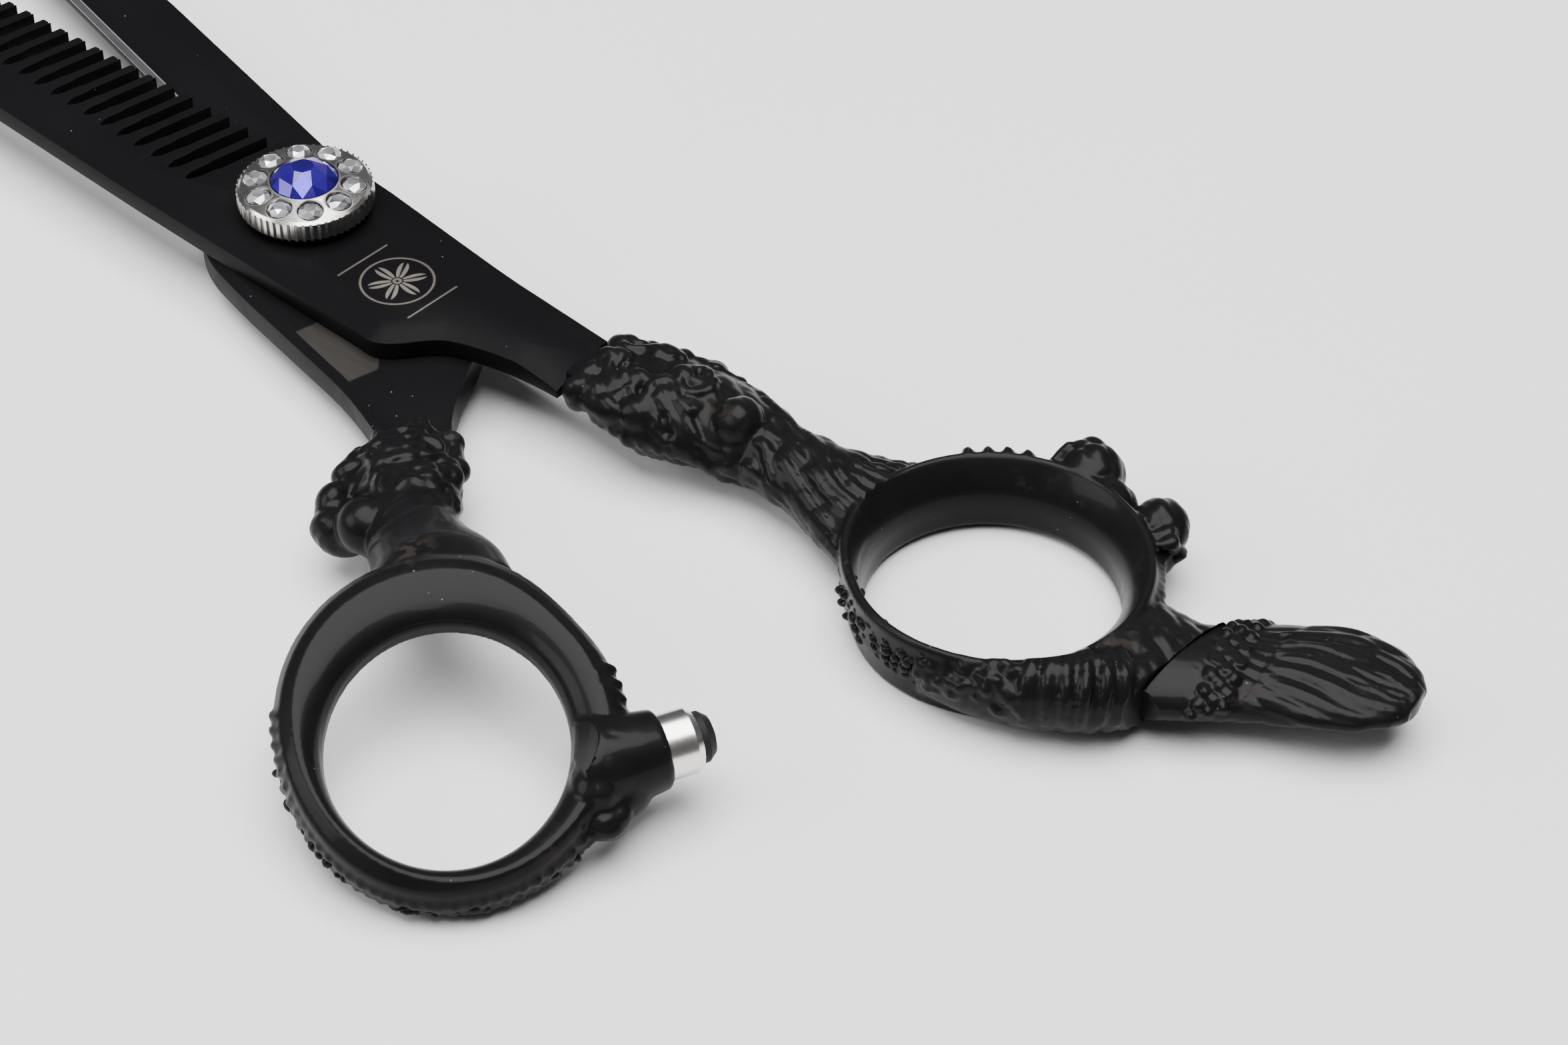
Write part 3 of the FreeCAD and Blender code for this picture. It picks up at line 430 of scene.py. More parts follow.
# %% Limbs, strands and curls
class Limb:
    """A handle made of ovals: (x, y, z, half width, half height) each."""

    def __init__(self, stations):
        self.stations = np.asarray(stations, float)
        self.kept_clear = (np.zeros(3), 0.0)
        steps = np.linalg.norm(np.diff(self.stations[:, :3], axis=0), axis=1)
        self.length = steps.sum()
        self.marks = np.concatenate([[0], np.cumsum(steps)]) / self.length

    def section(self, along):
        """Smoothly blended station values at a share of the length."""
        return sum(
            weight * np.array([np.interp(np.clip(along + shift, 0, 1), self.marks, column)
                               for column in self.stations.T])
            for weight, shift in ((0.25, -0.04), (0.5, 0.0), (0.25, 0.04)))

    def frame(self, along):
        """The section there, and the directions ahead, aside and up."""
        here = self.section(along)
        ahead = self.section(min(along + 0.02, 1.0))[:3] - self.section(max(along - 0.02, 0.0))[:3]
        ahead /= np.linalg.norm(ahead)
        side = np.cross(ahead, (0, 0, 1.0))
        side /= np.linalg.norm(side)
        return here, ahead, side, np.cross(side, ahead)

    def at(self, along, angle, lift=0.0):
        """A point on the surface; 90 degrees is the top."""
        here, ahead, side, up = self.frame(along)
        turn = math.radians(angle)
        return (here[:3] + side * math.cos(turn) * (here[3] + lift)
                + up * math.sin(turn) * (here[4] + lift))

    def skin(self, wax, rows=28, sides=32):
        """Add the limb's own body to the wax."""
        wax.rings([[self.at(along, angle) for angle in np.linspace(0, 360, sides, endpoint=False)]
                   for along in np.linspace(0, 1, rows)])

    def strand(self, wax, start, end, thick, wave=0.0, waves=1.0, lift=0.0, steps=14):
        """A tapering strand from (along, angle) to (along, angle)."""
        shares = np.linspace(0, 1, steps)
        path = [self.at(start[0] + (end[0] - start[0]) * t,
                        start[1] + (end[1] - start[1]) * t + wave * math.sin(waves * ROUND * t),
                        lift) for t in shares]
        if self.free(path):
            belly = np.sin(math.pi * np.clip(shares * 0.9 + 0.08, 0, 1))
            wax.tube(path, thick * (0.35 + 0.65 * belly))

    def curl(self, wax, along, angle, reach, thick, hand, lift=0.1):
        """A spiral curl lying on the surface, left or right handed."""
        steps = np.linspace(0, 1, 20)
        path = []
        for t in steps:
            radius = reach * (1 - 0.8 * t)
            swing = hand * 1.2 * ROUND * t
            around = math.degrees(radius * math.sin(swing) / self.section(along)[4]) * 0.8
            path.append(self.at(along + radius * math.cos(swing) / self.length, angle + around,
                                lift + 0.3 * t))
        if self.free(path):
            wax.tube(path, thick * (1 - 0.35 * steps))

    def free(self, path):
        """True when a path stays away from the pearl."""
        centre, reach = self.kept_clear
        return min(np.linalg.norm(point - centre) for point in path) >= reach


def wobble(points, scale, seed):
    """A smooth repeatable field, about -1 to 1, from a few crossed waves."""
    dice = np.random.default_rng(seed)
    total = np.zeros(len(points))
    for _ in range(9):
        direction = dice.normal(size=3)
        direction /= np.linalg.norm(direction)
        total += np.sin(points @ direction * scale * dice.uniform(0.6, 1.6) + dice.uniform(0, 6.3))
    return total / 4.0


print("limbs, strands and curls ready")

# %% Fuse and finish a casting
def array_of(mesh, label):
    """A vertex property of a mesh as rows of three numbers."""
    rows = np.empty(len(mesh.vertices) * 3)
    mesh.vertices.foreach_get(label, rows)
    return rows.reshape(-1, 3)


def fused(name, wax, voxel, relief, settle):
    """One skin round all the shapes, then relief along its normals, then a last fitting."""
    mesh = bpy.data.meshes.new(name)
    mesh.from_pydata(np.concatenate(wax.points) * MM, [], wax.faces)
    form = bmesh.new()
    form.from_mesh(mesh)
    bmesh.ops.recalc_face_normals(form, faces=form.faces)
    form.to_mesh(mesh)
    form.free()
    item = linked(name, mesh)
    remesh = item.modifiers.new("fuse", "REMESH")
    remesh.mode = "VOXEL"
    remesh.voxel_size = voxel * MM
    melt = item.modifiers.new("melt", "SMOOTH")
    melt.factor = 0.5
    melt.iterations = 3
    mesh = baked(item)
    points = array_of(mesh, "co") / MM
    points = settle(points + array_of(mesh, "normal") * relief(points)[:, None])
    mesh.vertices.foreach_set("co", (points * MM).ravel())
    mesh.update()
    return item


def ridges(phase):
    """Rounded ridges with sharp valleys between."""
    return np.abs(np.sin(phase))


def ramp(values, start, width):
    """0 before the start, 1 after the width; a negative width falls the other way."""
    return np.clip((values - start) / width, 0, 1)


def distance(points, place):
    """How far each point lies from a place."""
    return np.linalg.norm(points - place, axis=1)


print("casting tool ready")

# %% [markdown]
# ## The castings' coating
# The castings have the same black, but glossier, with a brownish tint where the coating is thin in
# the hollows and pale dust in the finest ones. Pointiness isn't available after export, so a few
# noises stand for it, and the relief itself does the rest.

# %% Glossy casting coat
def casting_coat(name):
    """Glossy black with thin brownish places and dust."""
    finish = Finish(name, IOR=1.5, Specular_IOR_Level=0.06, Coat_Roughness=0.1)
    cloud = finish.noise(230, 4, 0.6)
    orange = finish.noise(1500, 2)
    worn = finish.noise(110, 3).above(0.6, 0.12) * finish.noise(900, 3).above(0.5, 0.1)
    dust = finish.cells(700).below(0.07, 0.03) * finish.noise(150, 2).above(0.54, 0.1)
    base = finish.mix(cloud, (0.0035, 0.0035, 0.004), (0.007, 0.0068, 0.0072))
    base = finish.mix(worn * 0.35, base, (0.045, 0.034, 0.027))
    finish.feed(Base_Color=finish.mix(dust * 0.5, base, (0.3, 0.3, 0.31)),
                Roughness=0.27 + cloud * 0.14 + worn * 0.12 + dust * 0.25,
                Coat_Weight=0.06 - worn * 0.05)
    finish.bump(cloud + orange * 0.2, 0.00003, 0.25)
    return finish


finger_coat = casting_coat("finger_casting_coat")
rest_coat = casting_coat("rest_casting_coat")
thumb_coat = casting_coat("thumb_casting_coat")
print("casting coats ready")

# %% [markdown]
# ## The finger handle
# From the shank outwards: a carved head with brows, jaws and curls, a polished pearl beside the
# neck, a mane of wavy strands, then the finger ring. The ring is a smooth funnel inside and plain
# at its top edge; outside it carries scales, ribs, two knots and a claw. The ring is a lathe shape
# and is cleared again after fusing, so that the bore keeps its true size.

# %% Finger handle limb
FINGER = np.array((-79.2, -6.9))
BORE = 11.3
REST_JOINT = -98.0
finger_wax = Wax()
neck = Limb([
    (-34.9, -1.2, 6.8, 3.3, 1.5), (-36.4, -2.0, 6.4, 4.3, 2.2), (-38.6, -3.2, 6.0, 4.8, 2.8),
    (-42.2, -4.1, 5.6, 5.5, 3.4), (-47.0, -5.4, 5.5, 5.1, 3.4), (-51.0, -5.9, 5.3, 4.3, 3.2),
    (-55.2, -5.8, 5.0, 3.3, 2.8), (-60.0, -6.1, 4.8, 3.7, 2.8), (-64.0, -6.5, 4.5, 5.6, 3.0),
    (-67.2, -7.0, 4.2, 7.6, 3.0),
])
neck.skin(finger_wax)


def heading(degrees):
    """A level direction, counted from the X axis."""
    return np.array((math.cos(math.radians(degrees)), math.sin(math.radians(degrees)), 0.0))


def on_ring(degrees, radius, height):
    """A point beside the finger ring."""
    return (*(FINGER + radius * heading(degrees)[:2]), height)


def near_side(angle):
    """One on the ring's near side, nothing on the shank and rest sides."""
    return np.clip(1.5 * np.cos(angle - math.radians(82)) - 0.35, 0, 1)


def slimmer(angle, radius, height):
    """The near wall is thinner, with its crest closer to the bore."""
    cut = 0.9 if radius > BORE + 0.5 else 0.0
    cut = 1.3 if radius > BORE + 2.4 and height < 6 else cut
    return radius - cut * near_side(angle), height


outline = (
    (0.8, 0.05), (0, 0.9), (0, 3.3), (0.15, 4.3), (0.45, 5.2), (0.95, 6.1), (1.65, 6.95),
    (2.25, 7.45), (2.7, 7.1), (3.0, 5.0), (2.9, 3.0), (2.5, 0.9), (1.9, 0.05))
finger_wax.rings([
    [on_ring(math.degrees(angle), *slimmer(angle, BORE + out, height)) for out, height in outline]
    for angle in np.linspace(0, ROUND, 120, endpoint=False)], closed=True)
print("finger limb", round(neck.length, 1), "mm long")

# %% Finger handle carving
dice = np.random.default_rng(11)
for along, angle, radii in (
        (0.09, 148, (1.7, 1.5, 1.2)), (0.14, 168, (1.5, 1.2, 1.2)), (0.09, 100, (1.9, 1.2, 0.9)),
        (0.13, 60, (1.7, 1.2, 0.9)), (0.10, 20, (2.2, 1.3, 1.3)), (0.19, 130, (1.9, 1.4, 1.2)),
        (0.22, 160, (1.4, 1.1, 1.2)), (0.20, 75, (1.6, 1.2, 1.0)), (0.24, 30, (1.7, 1.2, 1.1)),
        (0.30, 168, (2.3, 1.2, 1.2)), (0.37, 176, (1.8, 1.0, 1.1)), (0.30, 100, (1.5, 1.2, 0.9)),
        (0.36, 60, (1.6, 1.1, 0.9)), (0.17, 5, (1.5, 0.9, 1.1)), (0.28, 3, (1.4, 0.9, 1.0))):
    finger_wax.ball(neck.at(along, angle, -0.2), radii, turn=180 + angle * 0.2)
PEARL = np.array((-51.2, -5.0, 7.6))
neck.kept_clear = (PEARL, 2.7)
finger_wax.balls(
    ((-43.4, 0.0, 7.2), (2.1, 1.5, 1.7), 15), ((-41.0, 1.0, 7.0), (2.0, 1.2, 1.5), 15),
    ((-37.0, 0.6, 6.7), (1.9, 1.6, 1.9), 15), ((-36.7, -1.2, 7.4), (1.5, 1.7, 1.4), 15),
    ((-38.8, 0.2, 7.2), (1.7, 1.4, 1.6), 15))
finger_wax.ball(PEARL, (2.45, 2.45, 2.4), rows=16, sides=24)
for number in range(13):
    neck.curl(finger_wax, 0.07 + 0.33 * dice.random(), dice.uniform(-5, 185),
              dice.uniform(1.1, 2.0), dice.uniform(0.42, 0.6), dice.choice((-1, 1)))
for number in range(30):
    start = 0.16 + 0.5 * dice.random()
    angle = dice.uniform(-30, 210)
    end = (start + dice.uniform(0.14, 0.3), angle - dice.uniform(15, 60))
    neck.strand(finger_wax, (start, angle), end, dice.uniform(0.46, 0.78),
                wave=dice.uniform(6, 16), waves=dice.uniform(0.7, 1.3), lift=-0.05)
for number in range(19):
    angle = 215 - number * 13.0
    neck.strand(finger_wax, (0.62 + 0.05 * math.sin(number), angle), (0.99, angle - 38), 0.62,
                wave=6, waves=1.2, lift=-0.12)
for number in range(9):
    finger_wax.ball(neck.at(0.1 + number * 0.045, -4, 0.1), (0.75, 0.6, 0.8), number * 30)
print("neck carving", finger_wax.count, "points")

# %% [markdown]
# Behind the ring the casting widens into a scaled claw that grips the joint of the finger rest. Two
# knots and four small ribs stand on the ring's far side.

# %% Ring knots, ribs and claw
finger_wax.balls(
    ((-77.5, -22.6, 5.5), (3.1, 3.1, 2.7), 10), ((-76.4, -24.2, 5.8), (1.9, 1.6, 1.8), 10),
    ((-80.6, -21.2, 5.0), (2.8, 1.9, 2.2), 10), ((-86.2, -21.4, 5.3), (2.8, 2.6, 2.4), -30),
    ((-88.2, -18.6, 4.4), (1.5, 1.3, 1.5), -45))


def bars(first, pitch, count, path, thick):
    """Short bars over the ring's wall; a path is (angle on, radius, height) each."""
    for number in range(count):
        swing = first + number * pitch
        finger_wax.tube([on_ring(swing + ahead, radius, height) for ahead, radius, height in path],
                        thick)


bars(-112, -5.0, 4, ((0, 15.2, 3.6), (-1, 16.6, 5.2), (-2, 15.8, 6.6), (-3, 14.4, 6.8)),
     (0.5, 0.75, 0.7, 0.4))
for number in range(3):
    finger_wax.tube([(-74.6 - number * 1.5, -20.4, 6.6), (-75.2 - number * 1.5, -22.4, 7.5),
                     (-75.6 - number * 1.4, -24.6, 6.8)], [0.4, 0.55, 0.4])
bars(-42, -7.2, 4, ((0, 13.2, 5.6), (0, 14.2, 6.6), (2, 14.3, 7.3)), (0.9, 0.65, 0.4))
root = Limb([
    (-89.6, -6.6, 4.1, 8.2, 3.1), (-92.6, -6.8, 4.2, 8.0, 3.2), (-95.4, -8.0, 4.2, 6.6, 3.0),
    (-98.6, -9.3, 4.2, 5.4, 2.7), (-101.5, -11.6, 4.2, 5.4, 2.6)])
root.skin(finger_wax)
claw = Limb([
    (-81.0, 5.0, 3.6, 1.3, 2.4), (-86.0, 3.9, 4.0, 2.1, 2.9), (-90.5, 1.4, 4.4, 3.0, 3.3),
    (-94.0, -1.5, 4.5, 3.3, 3.4), (-96.3, -4.0, 4.4, 3.0, 3.1), (-97.5, -6.5, 4.3, 2.6, 2.8)])
claw.skin(finger_wax)
for number in range(6):
    along = 0.46 + number * 0.07
    claw.strand(finger_wax, (along, -15), (along + 0.05, 200), 0.8, lift=-0.1)
for number in range(60):
    size = dice.uniform(0.3, 0.6)
    finger_wax.ball(claw.at(dice.uniform(0.0, 0.46), dice.uniform(-5, 95)),
                    (size * 1.2, size, size))
for number in range(5):
    finger_wax.ball(claw.at(0.62 + number * 0.07, 176), (0.95, 0.8, 1.1), turn=40)
bars(172, 3.4, 24, ((0, 14.0, 6.2), (1.5, 14.5, 5.4), (4, 14.4, 4.0)), (0.3, 0.45, 0.35))
print("claw", round(claw.length, 1), "mm; wax", finger_wax.count, "points")

# %% Fuse the finger handle
def finger_relief(points):
    """Fine strands on the neck and root, scales outside the ring, nothing in the funnel."""
    carved = ramp(distance(points[:, :2], FINGER), 14.2, 1.2) * ramp(
        distance(points, PEARL), 2.2, 0.4)
    warp = wobble(points, 0.55, 3)
    flow = ridges(points[:, 1] * 1.5 + points[:, 0] * 0.8 + points[:, 2] * 0.6 + 1.9 * warp)
    knots = ridges(points[:, 0] * 0.9 + 1.4 * wobble(points, 0.6, 5)) * ridges(
        points[:, 1] * 1.0 + 1.2 * wobble(points, 0.7, 7))
    return carved * (0.15 * flow + 0.16 * knots - 0.13)


def clear_funnel(points):
    """Push whatever stands in the bore back to the funnel's wall."""
    away = points[:, :2] - FINGER
    radius = distance(points[:, :2], FINGER)
    rise = np.clip((points[:, 2] - 3.0) / 4.6, 0, 1.3)
    wall = BORE + 2.3 * rise ** 2 + 0.8 * np.clip(1 - points[:, 2] / 0.9, 0, 1)
    slim = near_side(np.arctan2(away[:, 1], away[:, 0]))
    wall = np.where(points[:, 2] > 3, wall - 0.48 * slim * (wall - BORE), wall)
    grow = np.where(radius < wall, wall / np.maximum(radius, 1), 1.0)
    points[:, :2] = FINGER + away * grow[:, None]
    points[:, 0] = np.maximum(points[:, 0], REST_JOINT)
    points[:, 2] = np.maximum(points[:, 2], 0.02)
    return points


finger_casting = fused("finger_casting", finger_wax, 0.25, finger_relief, clear_funnel)
handed_over(finger_casting, finger_coat, "finger_half", "finger_handle")

# %% [markdown]
# ## The finger rest
# A tang for the little finger: a collar of scales wraps its root on the slant, and the paddle is
# combed into long locks that fan out to the end. Locks start at the collar and spread by rule.

# %% Finger rest
rest_wax = Wax()
tang = Limb([
    (-94.8, -6.6, 4.2, 5.4, 2.7), (-98.4, -9.2, 4.2, 5.2, 2.6), (-101.9, -12.1, 4.3, 5.3, 2.4),
    (-105.4, -14.7, 4.5, 5.9, 2.1), (-109.0, -16.6, 4.8, 5.9, 1.9),
    (-112.6, -17.6, 5.0, 4.8, 1.6), (-114.9, -18.0, 5.1, 3.2, 1.2), (-115.9, -18.2, 5.1, 1.6, 0.8)])
tang.skin(rest_wax, rows=30)
for number in range(25):
    angle = -12 + number * 8.4
    tang.strand(rest_wax, (0.36 + 0.011 * number, angle * 0.72 + 34), (0.95, angle),
                0.33 + 0.06 * (number % 3), wave=4 + number % 4, lift=-0.04, steps=20)
for number in range(5):
    tang.strand(rest_wax, (0.5, 50 + number * 18), (0.97, 20 + number * 26), 0.34,
                wave=5, waves=0.8, lift=0.05, steps=18)
for row in range(3):
    for number in range(10):
        place = tang.at(0.19 + row * 0.05 + number * 0.022, 5 + number * 19 + row * 8)
        rest_wax.ball(place, (0.75, 0.62, 0.5), turn=-35)


def rest_relief(points):
    """Fine combed lines, stronger towards the end."""
    share = ramp(points[:, 0], REST_JOINT - 1.5, -5.0)
    fan = np.arctan2(points[:, 1] + 9.0, -points[:, 0] - 92.0)
    return share * (0.14 * ridges(fan * 30 + 1.0 * wobble(points, 0.3, 9)) - 0.09)


def inside_rest(points):
    """Keep the rest behind its joint and within its length."""
    low, high = (np.array(corner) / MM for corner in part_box("finger_rest"))
    return np.clip(points, low - (0, 0.5, 0.5), high)


rest_casting = fused("rest_casting", rest_wax, 0.2, rest_relief, inside_rest)
handed_over(rest_casting, rest_coat, "finger_half", "finger_rest")

# %% [markdown]
# ## The thumb handle
# The thumb ring leans away from the pivot, so it is built in its own plane and tipped into place.
# Its shank side is a broad smooth web. A maned head with a large pearl sits at the shank, a boss
# carries the bumper, and scales run round the outer edge. All of it is drawn at rest, opened by the
# same angle as the solids.

# %% Thumb ring plane
def opened(x, y, z):
    """Turn a point of the closed shears to where it lies at rest."""
    return x * heading(-OPENED) + y * heading(90 - OPENED) + (0, 0, z)


THUMB = opened(-67.9, 26.4, 7.0)
LEAN = 148.5 - OPENED
TILT = math.radians(20.0)
LONG_AXIS = heading(LEAN) * math.cos(TILT) - (0, 0, math.sin(TILT))
WIDE_AXIS = heading(LEAN + 90)
RING_AXIS = np.cross(LONG_AXIS, WIDE_AXIS)
LONG, WIDE = 11.1, 10.1
STEEP_SIDE = 310
thumb_wax = Wax()


def ring_point(degrees, out, height):
    """A point of the thumb ring: angle from its far end, distance beyond the opening, height."""
    turn = math.radians(degrees)
    return (THUMB + LONG_AXIS * (LONG + out) * math.cos(turn)
            + WIDE_AXIS * (WIDE + out) * math.sin(turn) + RING_AXIS * height)


def toward(degrees, centre, power):
    """One at an angle, falling to nothing a quarter turn away."""
    return max(math.cos(math.radians(degrees - centre)), 0.0) ** power


def web_at(degrees):
    """One at the shank's broad web, nothing at the far end."""
    return (0.5 - 0.5 * math.cos(math.radians(degrees))) ** 2.0


def wall_at(degrees):
    """The ring's wall: widest at the shank, slimmer by the boss and on the far side."""
    return (3.1 + 0.8 * math.sin(math.radians(degrees)) ** 2 + 3.6 * web_at(degrees)
            - 1.2 * toward(degrees, 135, 10) - 1.1 * toward(degrees, 280, 3))


loops = []
for degrees in np.arange(0, 360, 3.0):
    wall = wall_at(degrees)
    steep = 1 - 0.6 * toward(degrees, STEEP_SIDE, 2)
    crest = 2.5 - 0.9 * web_at(degrees) + 0.5 * toward(degrees, STEEP_SIDE, 2)
    flare = [(0.68 * (0.4 + 0.6 * steep) * wall * (1 - math.cos(t)), crest * math.sin(t))
             for t in np.linspace(0.2, STRAIGHT, 7)]
    loops.append([ring_point(degrees, out, height) for out, height in (
        (0.5, -2.5), (0.0, -1.4), (0.0, 0.0), *flare, (0.85 * wall, 0.7 * crest),
        (wall, 0.1 * crest), (wall - 0.1, -1.2), (wall - 1.2, -2.5))])
thumb_wax.rings(loops, closed=True)
print("thumb ring about", THUMB.round(1), "leaning", round(math.degrees(TILT)), "degrees")

# %% Thumb head and neck
maned = Limb([
    (*opened(-31.75, 7.3, 4.4), 3.7, 2.7), (-31.0, 16.2, 4.9, 4.5, 3.1),
    (-33.2, 19.4, 5.5, 5.0, 3.4), (-36.6, 22.2, 6.2, 4.5, 3.3), (-40.2, 24.6, 7.1, 4.1, 3.1),
    (-43.6, 26.6, 8.2, 5.0, 3.2), (-47.0, 28.3, 9.6, 6.0, 3.3), (-50.2, 30.4, 10.9, 6.2, 2.7)])
maned.skin(thumb_wax)
THUMB_PEARL = np.array((-35.9, 26.3, 7.0))
maned.kept_clear = (THUMB_PEARL, 3.0)
thumb_wax.ball(THUMB_PEARL, (2.65, 2.65, 2.6), rows=18, sides=28)
thumb_wax.balls(
    ((-33.4, 27.2, 5.2), (2.8, 2.0, 2.4), 20), ((-31.1, 25.6, 5.8), (1.8, 2.3, 2.3), 20),
    ((-28.3, 19.6, 5.6), (1.5, 1.3, 1.5), 20), ((-29.3, 21.8, 5.6), (1.9, 2.0, 1.9), 20),
    ((-37.2, 26.2, 6.2), (2.0, 1.9, 2.2), 20))
for along, angle, radii in (
        (0.05, 150, (1.5, 1.2, 1.1)), (0.05, 100, (1.6, 1.1, 0.8)), (0.06, 45, (1.4, 1.1, 0.9)),
        (0.16, 165, (1.7, 1.3, 1.2)), (0.20, 20, (1.9, 1.2, 1.1)), (0.28, 150, (2.0, 1.4, 1.1)),
        (0.30, 15, (1.6, 1.1, 1.1)), (0.24, 95, (2.0, 1.3, 0.8)), (0.36, 120, (1.8, 1.2, 1.0))):
    thumb_wax.ball(maned.at(along, angle, -0.25), radii, turn=120 + angle * 0.2)
dice = np.random.default_rng(23)
for number in range(14):
    maned.curl(thumb_wax, 0.05 + 0.46 * dice.random(), dice.uniform(10, 170),
               dice.uniform(1.3, 2.1), dice.uniform(0.42, 0.6), dice.choice((-1, 1)), lift=-0.05)
for number in range(26):
    start = 0.02 + 0.4 * dice.random()
    angle = dice.uniform(-10, 190)
    end = (start + dice.uniform(0.1, 0.2), angle + dice.uniform(-10, 50))
    maned.strand(thumb_wax, (start, angle), end, dice.uniform(0.45, 0.7),
                 wave=dice.uniform(5, 14), waves=dice.uniform(0.6, 1.2), lift=-0.1)
print("thumb head", round(maned.length, 1), "mm; wax", thumb_wax.count, "points")

# %% Bumper boss and its carved flank
BOSS_TURN = 257.3 - OPENED
boss_end = opened(-77.6, 11.9, 6.4)
aim = heading(BOSS_TURN)
thumb_wax.tube([boss_end - aim * back for back in (7.4, 5.4, 2.0, 0.25, 0.0)],
               [3.6, 4.0, 3.65, 3.4, 3.2], sides=36)
thumb_wax.balls(
    (boss_end - aim * 5.5 + (-1.2, 0.8, -0.2), (2.6, 3.6, 2.6), 20),
    ((-74.4, 35.9, 4.5), (1.6, 2.3, 1.6), -8), ((-73.4, 33.4, 4.9), (2.1, 3.0, 2.4), -8))
for degrees in range(-105, 112, 5):
    wall = wall_at(degrees)
    thumb_wax.tube([ring_point(degrees + ahead, wall - inset, height) for ahead, inset, height in (
        (-2, 0.7, -1.9), (0, 0.15, -0.8), (2, 0.2, 0.4), (4, 0.8, 1.3))], [0.3, 0.5, 0.5, 0.3])
print("boss end", boss_end.round(1))

# %% Fuse the thumb handle
def in_ring(points):
    """Ring coordinates: along, across and along the ring's axis."""
    away = points - THUMB
    return away @ LONG_AXIS, away @ WIDE_AXIS, away @ RING_AXIS


def thumb_relief(points):
    """Mane lines on the head, scales round the outer edge, smooth elsewhere."""
    along, across, height = in_ring(points)
    out = (np.hypot(along / LONG, across / WIDE) - 1) * 0.5 * (LONG + WIDE)
    angle = np.degrees(np.arctan2(across, along))
    head = ramp(points[:, 0], -41.5, 2.5) * ramp(distance(points, THUMB_PEARL), 3.35, 0.5)
    edge = ramp(out, 2.9, 0.5) * ramp(np.abs(angle - 15), 110, -12) * ramp(
        points[:, 0], -44, -3.0) * ramp(distance(points, boss_end), 4.8, 3.0)
    warp = wobble(points, 0.5, 13)
    mane = ridges(points[:, 0] * 1.1 - points[:, 1] * 0.75 + 2.2 * warp)
    scale = ridges(np.radians(angle) * 26 + 0.8 * warp) * ridges(height * 1.5 + warp)
    return head * (0.2 * mane - 0.12) + edge * (0.22 * scale - 0.12)


def clear_opening(points):
    """Push whatever stands in the opening back to its wall."""
    along, across, height = in_ring(points)
    share = np.hypot(along / LONG, across / WIDE)
    nearness = (0.5 - 0.5 * along / np.maximum(np.hypot(along, across), 0.1)) ** 2.2
    grow = np.interp(height, [-3, -2.5, -1.4, 0.0, 1.6, 3, 6], [0.08, 0.05, 0, 0, 0.03, 0.12, 0.3])
    steep = np.clip(np.cos(np.arctan2(across, along) - math.radians(STEEP_SIDE)), 0, 1) ** 2
    grow *= 1 + 1.6 * nearness - np.where(height > 0, 0.65 * steep, 0)
    factor = np.where(share < 1 + grow, (1 + grow) / np.maximum(share, 0.2), 1.0) - 1
    moved = points + np.outer(along * factor, LONG_AXIS) + np.outer(across * factor, WIDE_AXIS)
    low, high = (corner.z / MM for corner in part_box("thumb_handle"))
    moved[:, 2] = np.clip(moved[:, 2], low + 0.02, high - 0.02)
    return moved


thumb_casting = fused("thumb_casting", thumb_wax, 0.25, thumb_relief, clear_opening)
handed_over(thumb_casting, thumb_coat, "thumb_half", "thumb_handle")

# %% [markdown]
# ## Beads, knurls and stones by Geometry Nodes
# Scales along an edge, the knob's knurls and its ring of small stones all repeat one shape by a
# rule. A node tree says the rule once, with its sizes as named inputs, and each use bakes to a
# plain mesh. The first tree walks a line and drops a bead at every step.

# %% Node tree helpers
def tree_with(name, sizes):
    """A node tree with named inputs for sizes and a material."""
    tree = bpy.data.node_groups.new(name, "GeometryNodeTree")
    kinds = {"Geometry": "Geometry", **sizes, "Material": "Material"}
    for label, kind in kinds.items():
        tree.interface.new_socket(name=label, in_out="INPUT", socket_type="NodeSocket" + kind)
    tree.interface.new_socket(name="Geometry", in_out="OUTPUT", socket_type="NodeSocketGeometry")
    return tree, tree.nodes.new("NodeGroupInput").outputs


def end_tree(tree, given, instances):
    """Realize the instances, set their material and end the tree."""
    real = node_in(tree, "GeometryNodeRealizeInstances", {0: instances})
    painted = node_in(tree, "GeometryNodeSetMaterial", {0: real, "Material": given["Material"]})
    tree.links.new(painted, tree.nodes.new("NodeGroupOutput").inputs[0])


def on_a_circle(tree, given, piece, turn):
    """Set pieces round a circle; turn makes their rotation. Ends the tree."""
    circle = node_in(tree, "GeometryNodeCurvePrimitiveCircle", {
        "Radius": given["Radius"], "Resolution": given["Count"]})
    points = node_in(tree, "GeometryNodeCurveToPoints", {"Curve": circle}, mode="EVALUATED")
    placed = node_in(tree, "GeometryNodeInstanceOnPoints", {
        "Points": points, "Instance": piece, "Rotation": turn})
    raised = node_in(tree, "ShaderNodeCombineXYZ", {"Z": given["Lift"]})
    end_tree(tree, given, node_in(tree, "GeometryNodeTranslateInstances", {
        "Instances": placed, "Translation": raised}))


def grown(name, tree, values, finish, body, line=((0, 0, 0), (0, 0, 1)), smooth=False,
          node=None):
    """Run a tree on a line of points and keep the result as a plain mesh."""
    seed = bpy.data.meshes.new(name + "_line")
    seed.from_pydata(np.asarray(line, float) * MM, [(k, k + 1) for k in range(len(line) - 1)], [])
    item = linked(name, seed)
    rule = item.modifiers.new("rule", "NODES")
    rule.node_group = tree
    values = dict(values, Material=finish.material)
    for socket in tree.interface.items_tree:
        if socket.in_out == "INPUT" and socket.name in values:
            rule[socket.identifier] = values[socket.name]
    baked(item, smooth)
    handed_over(item, None, body, node)


print("node tree helpers ready")

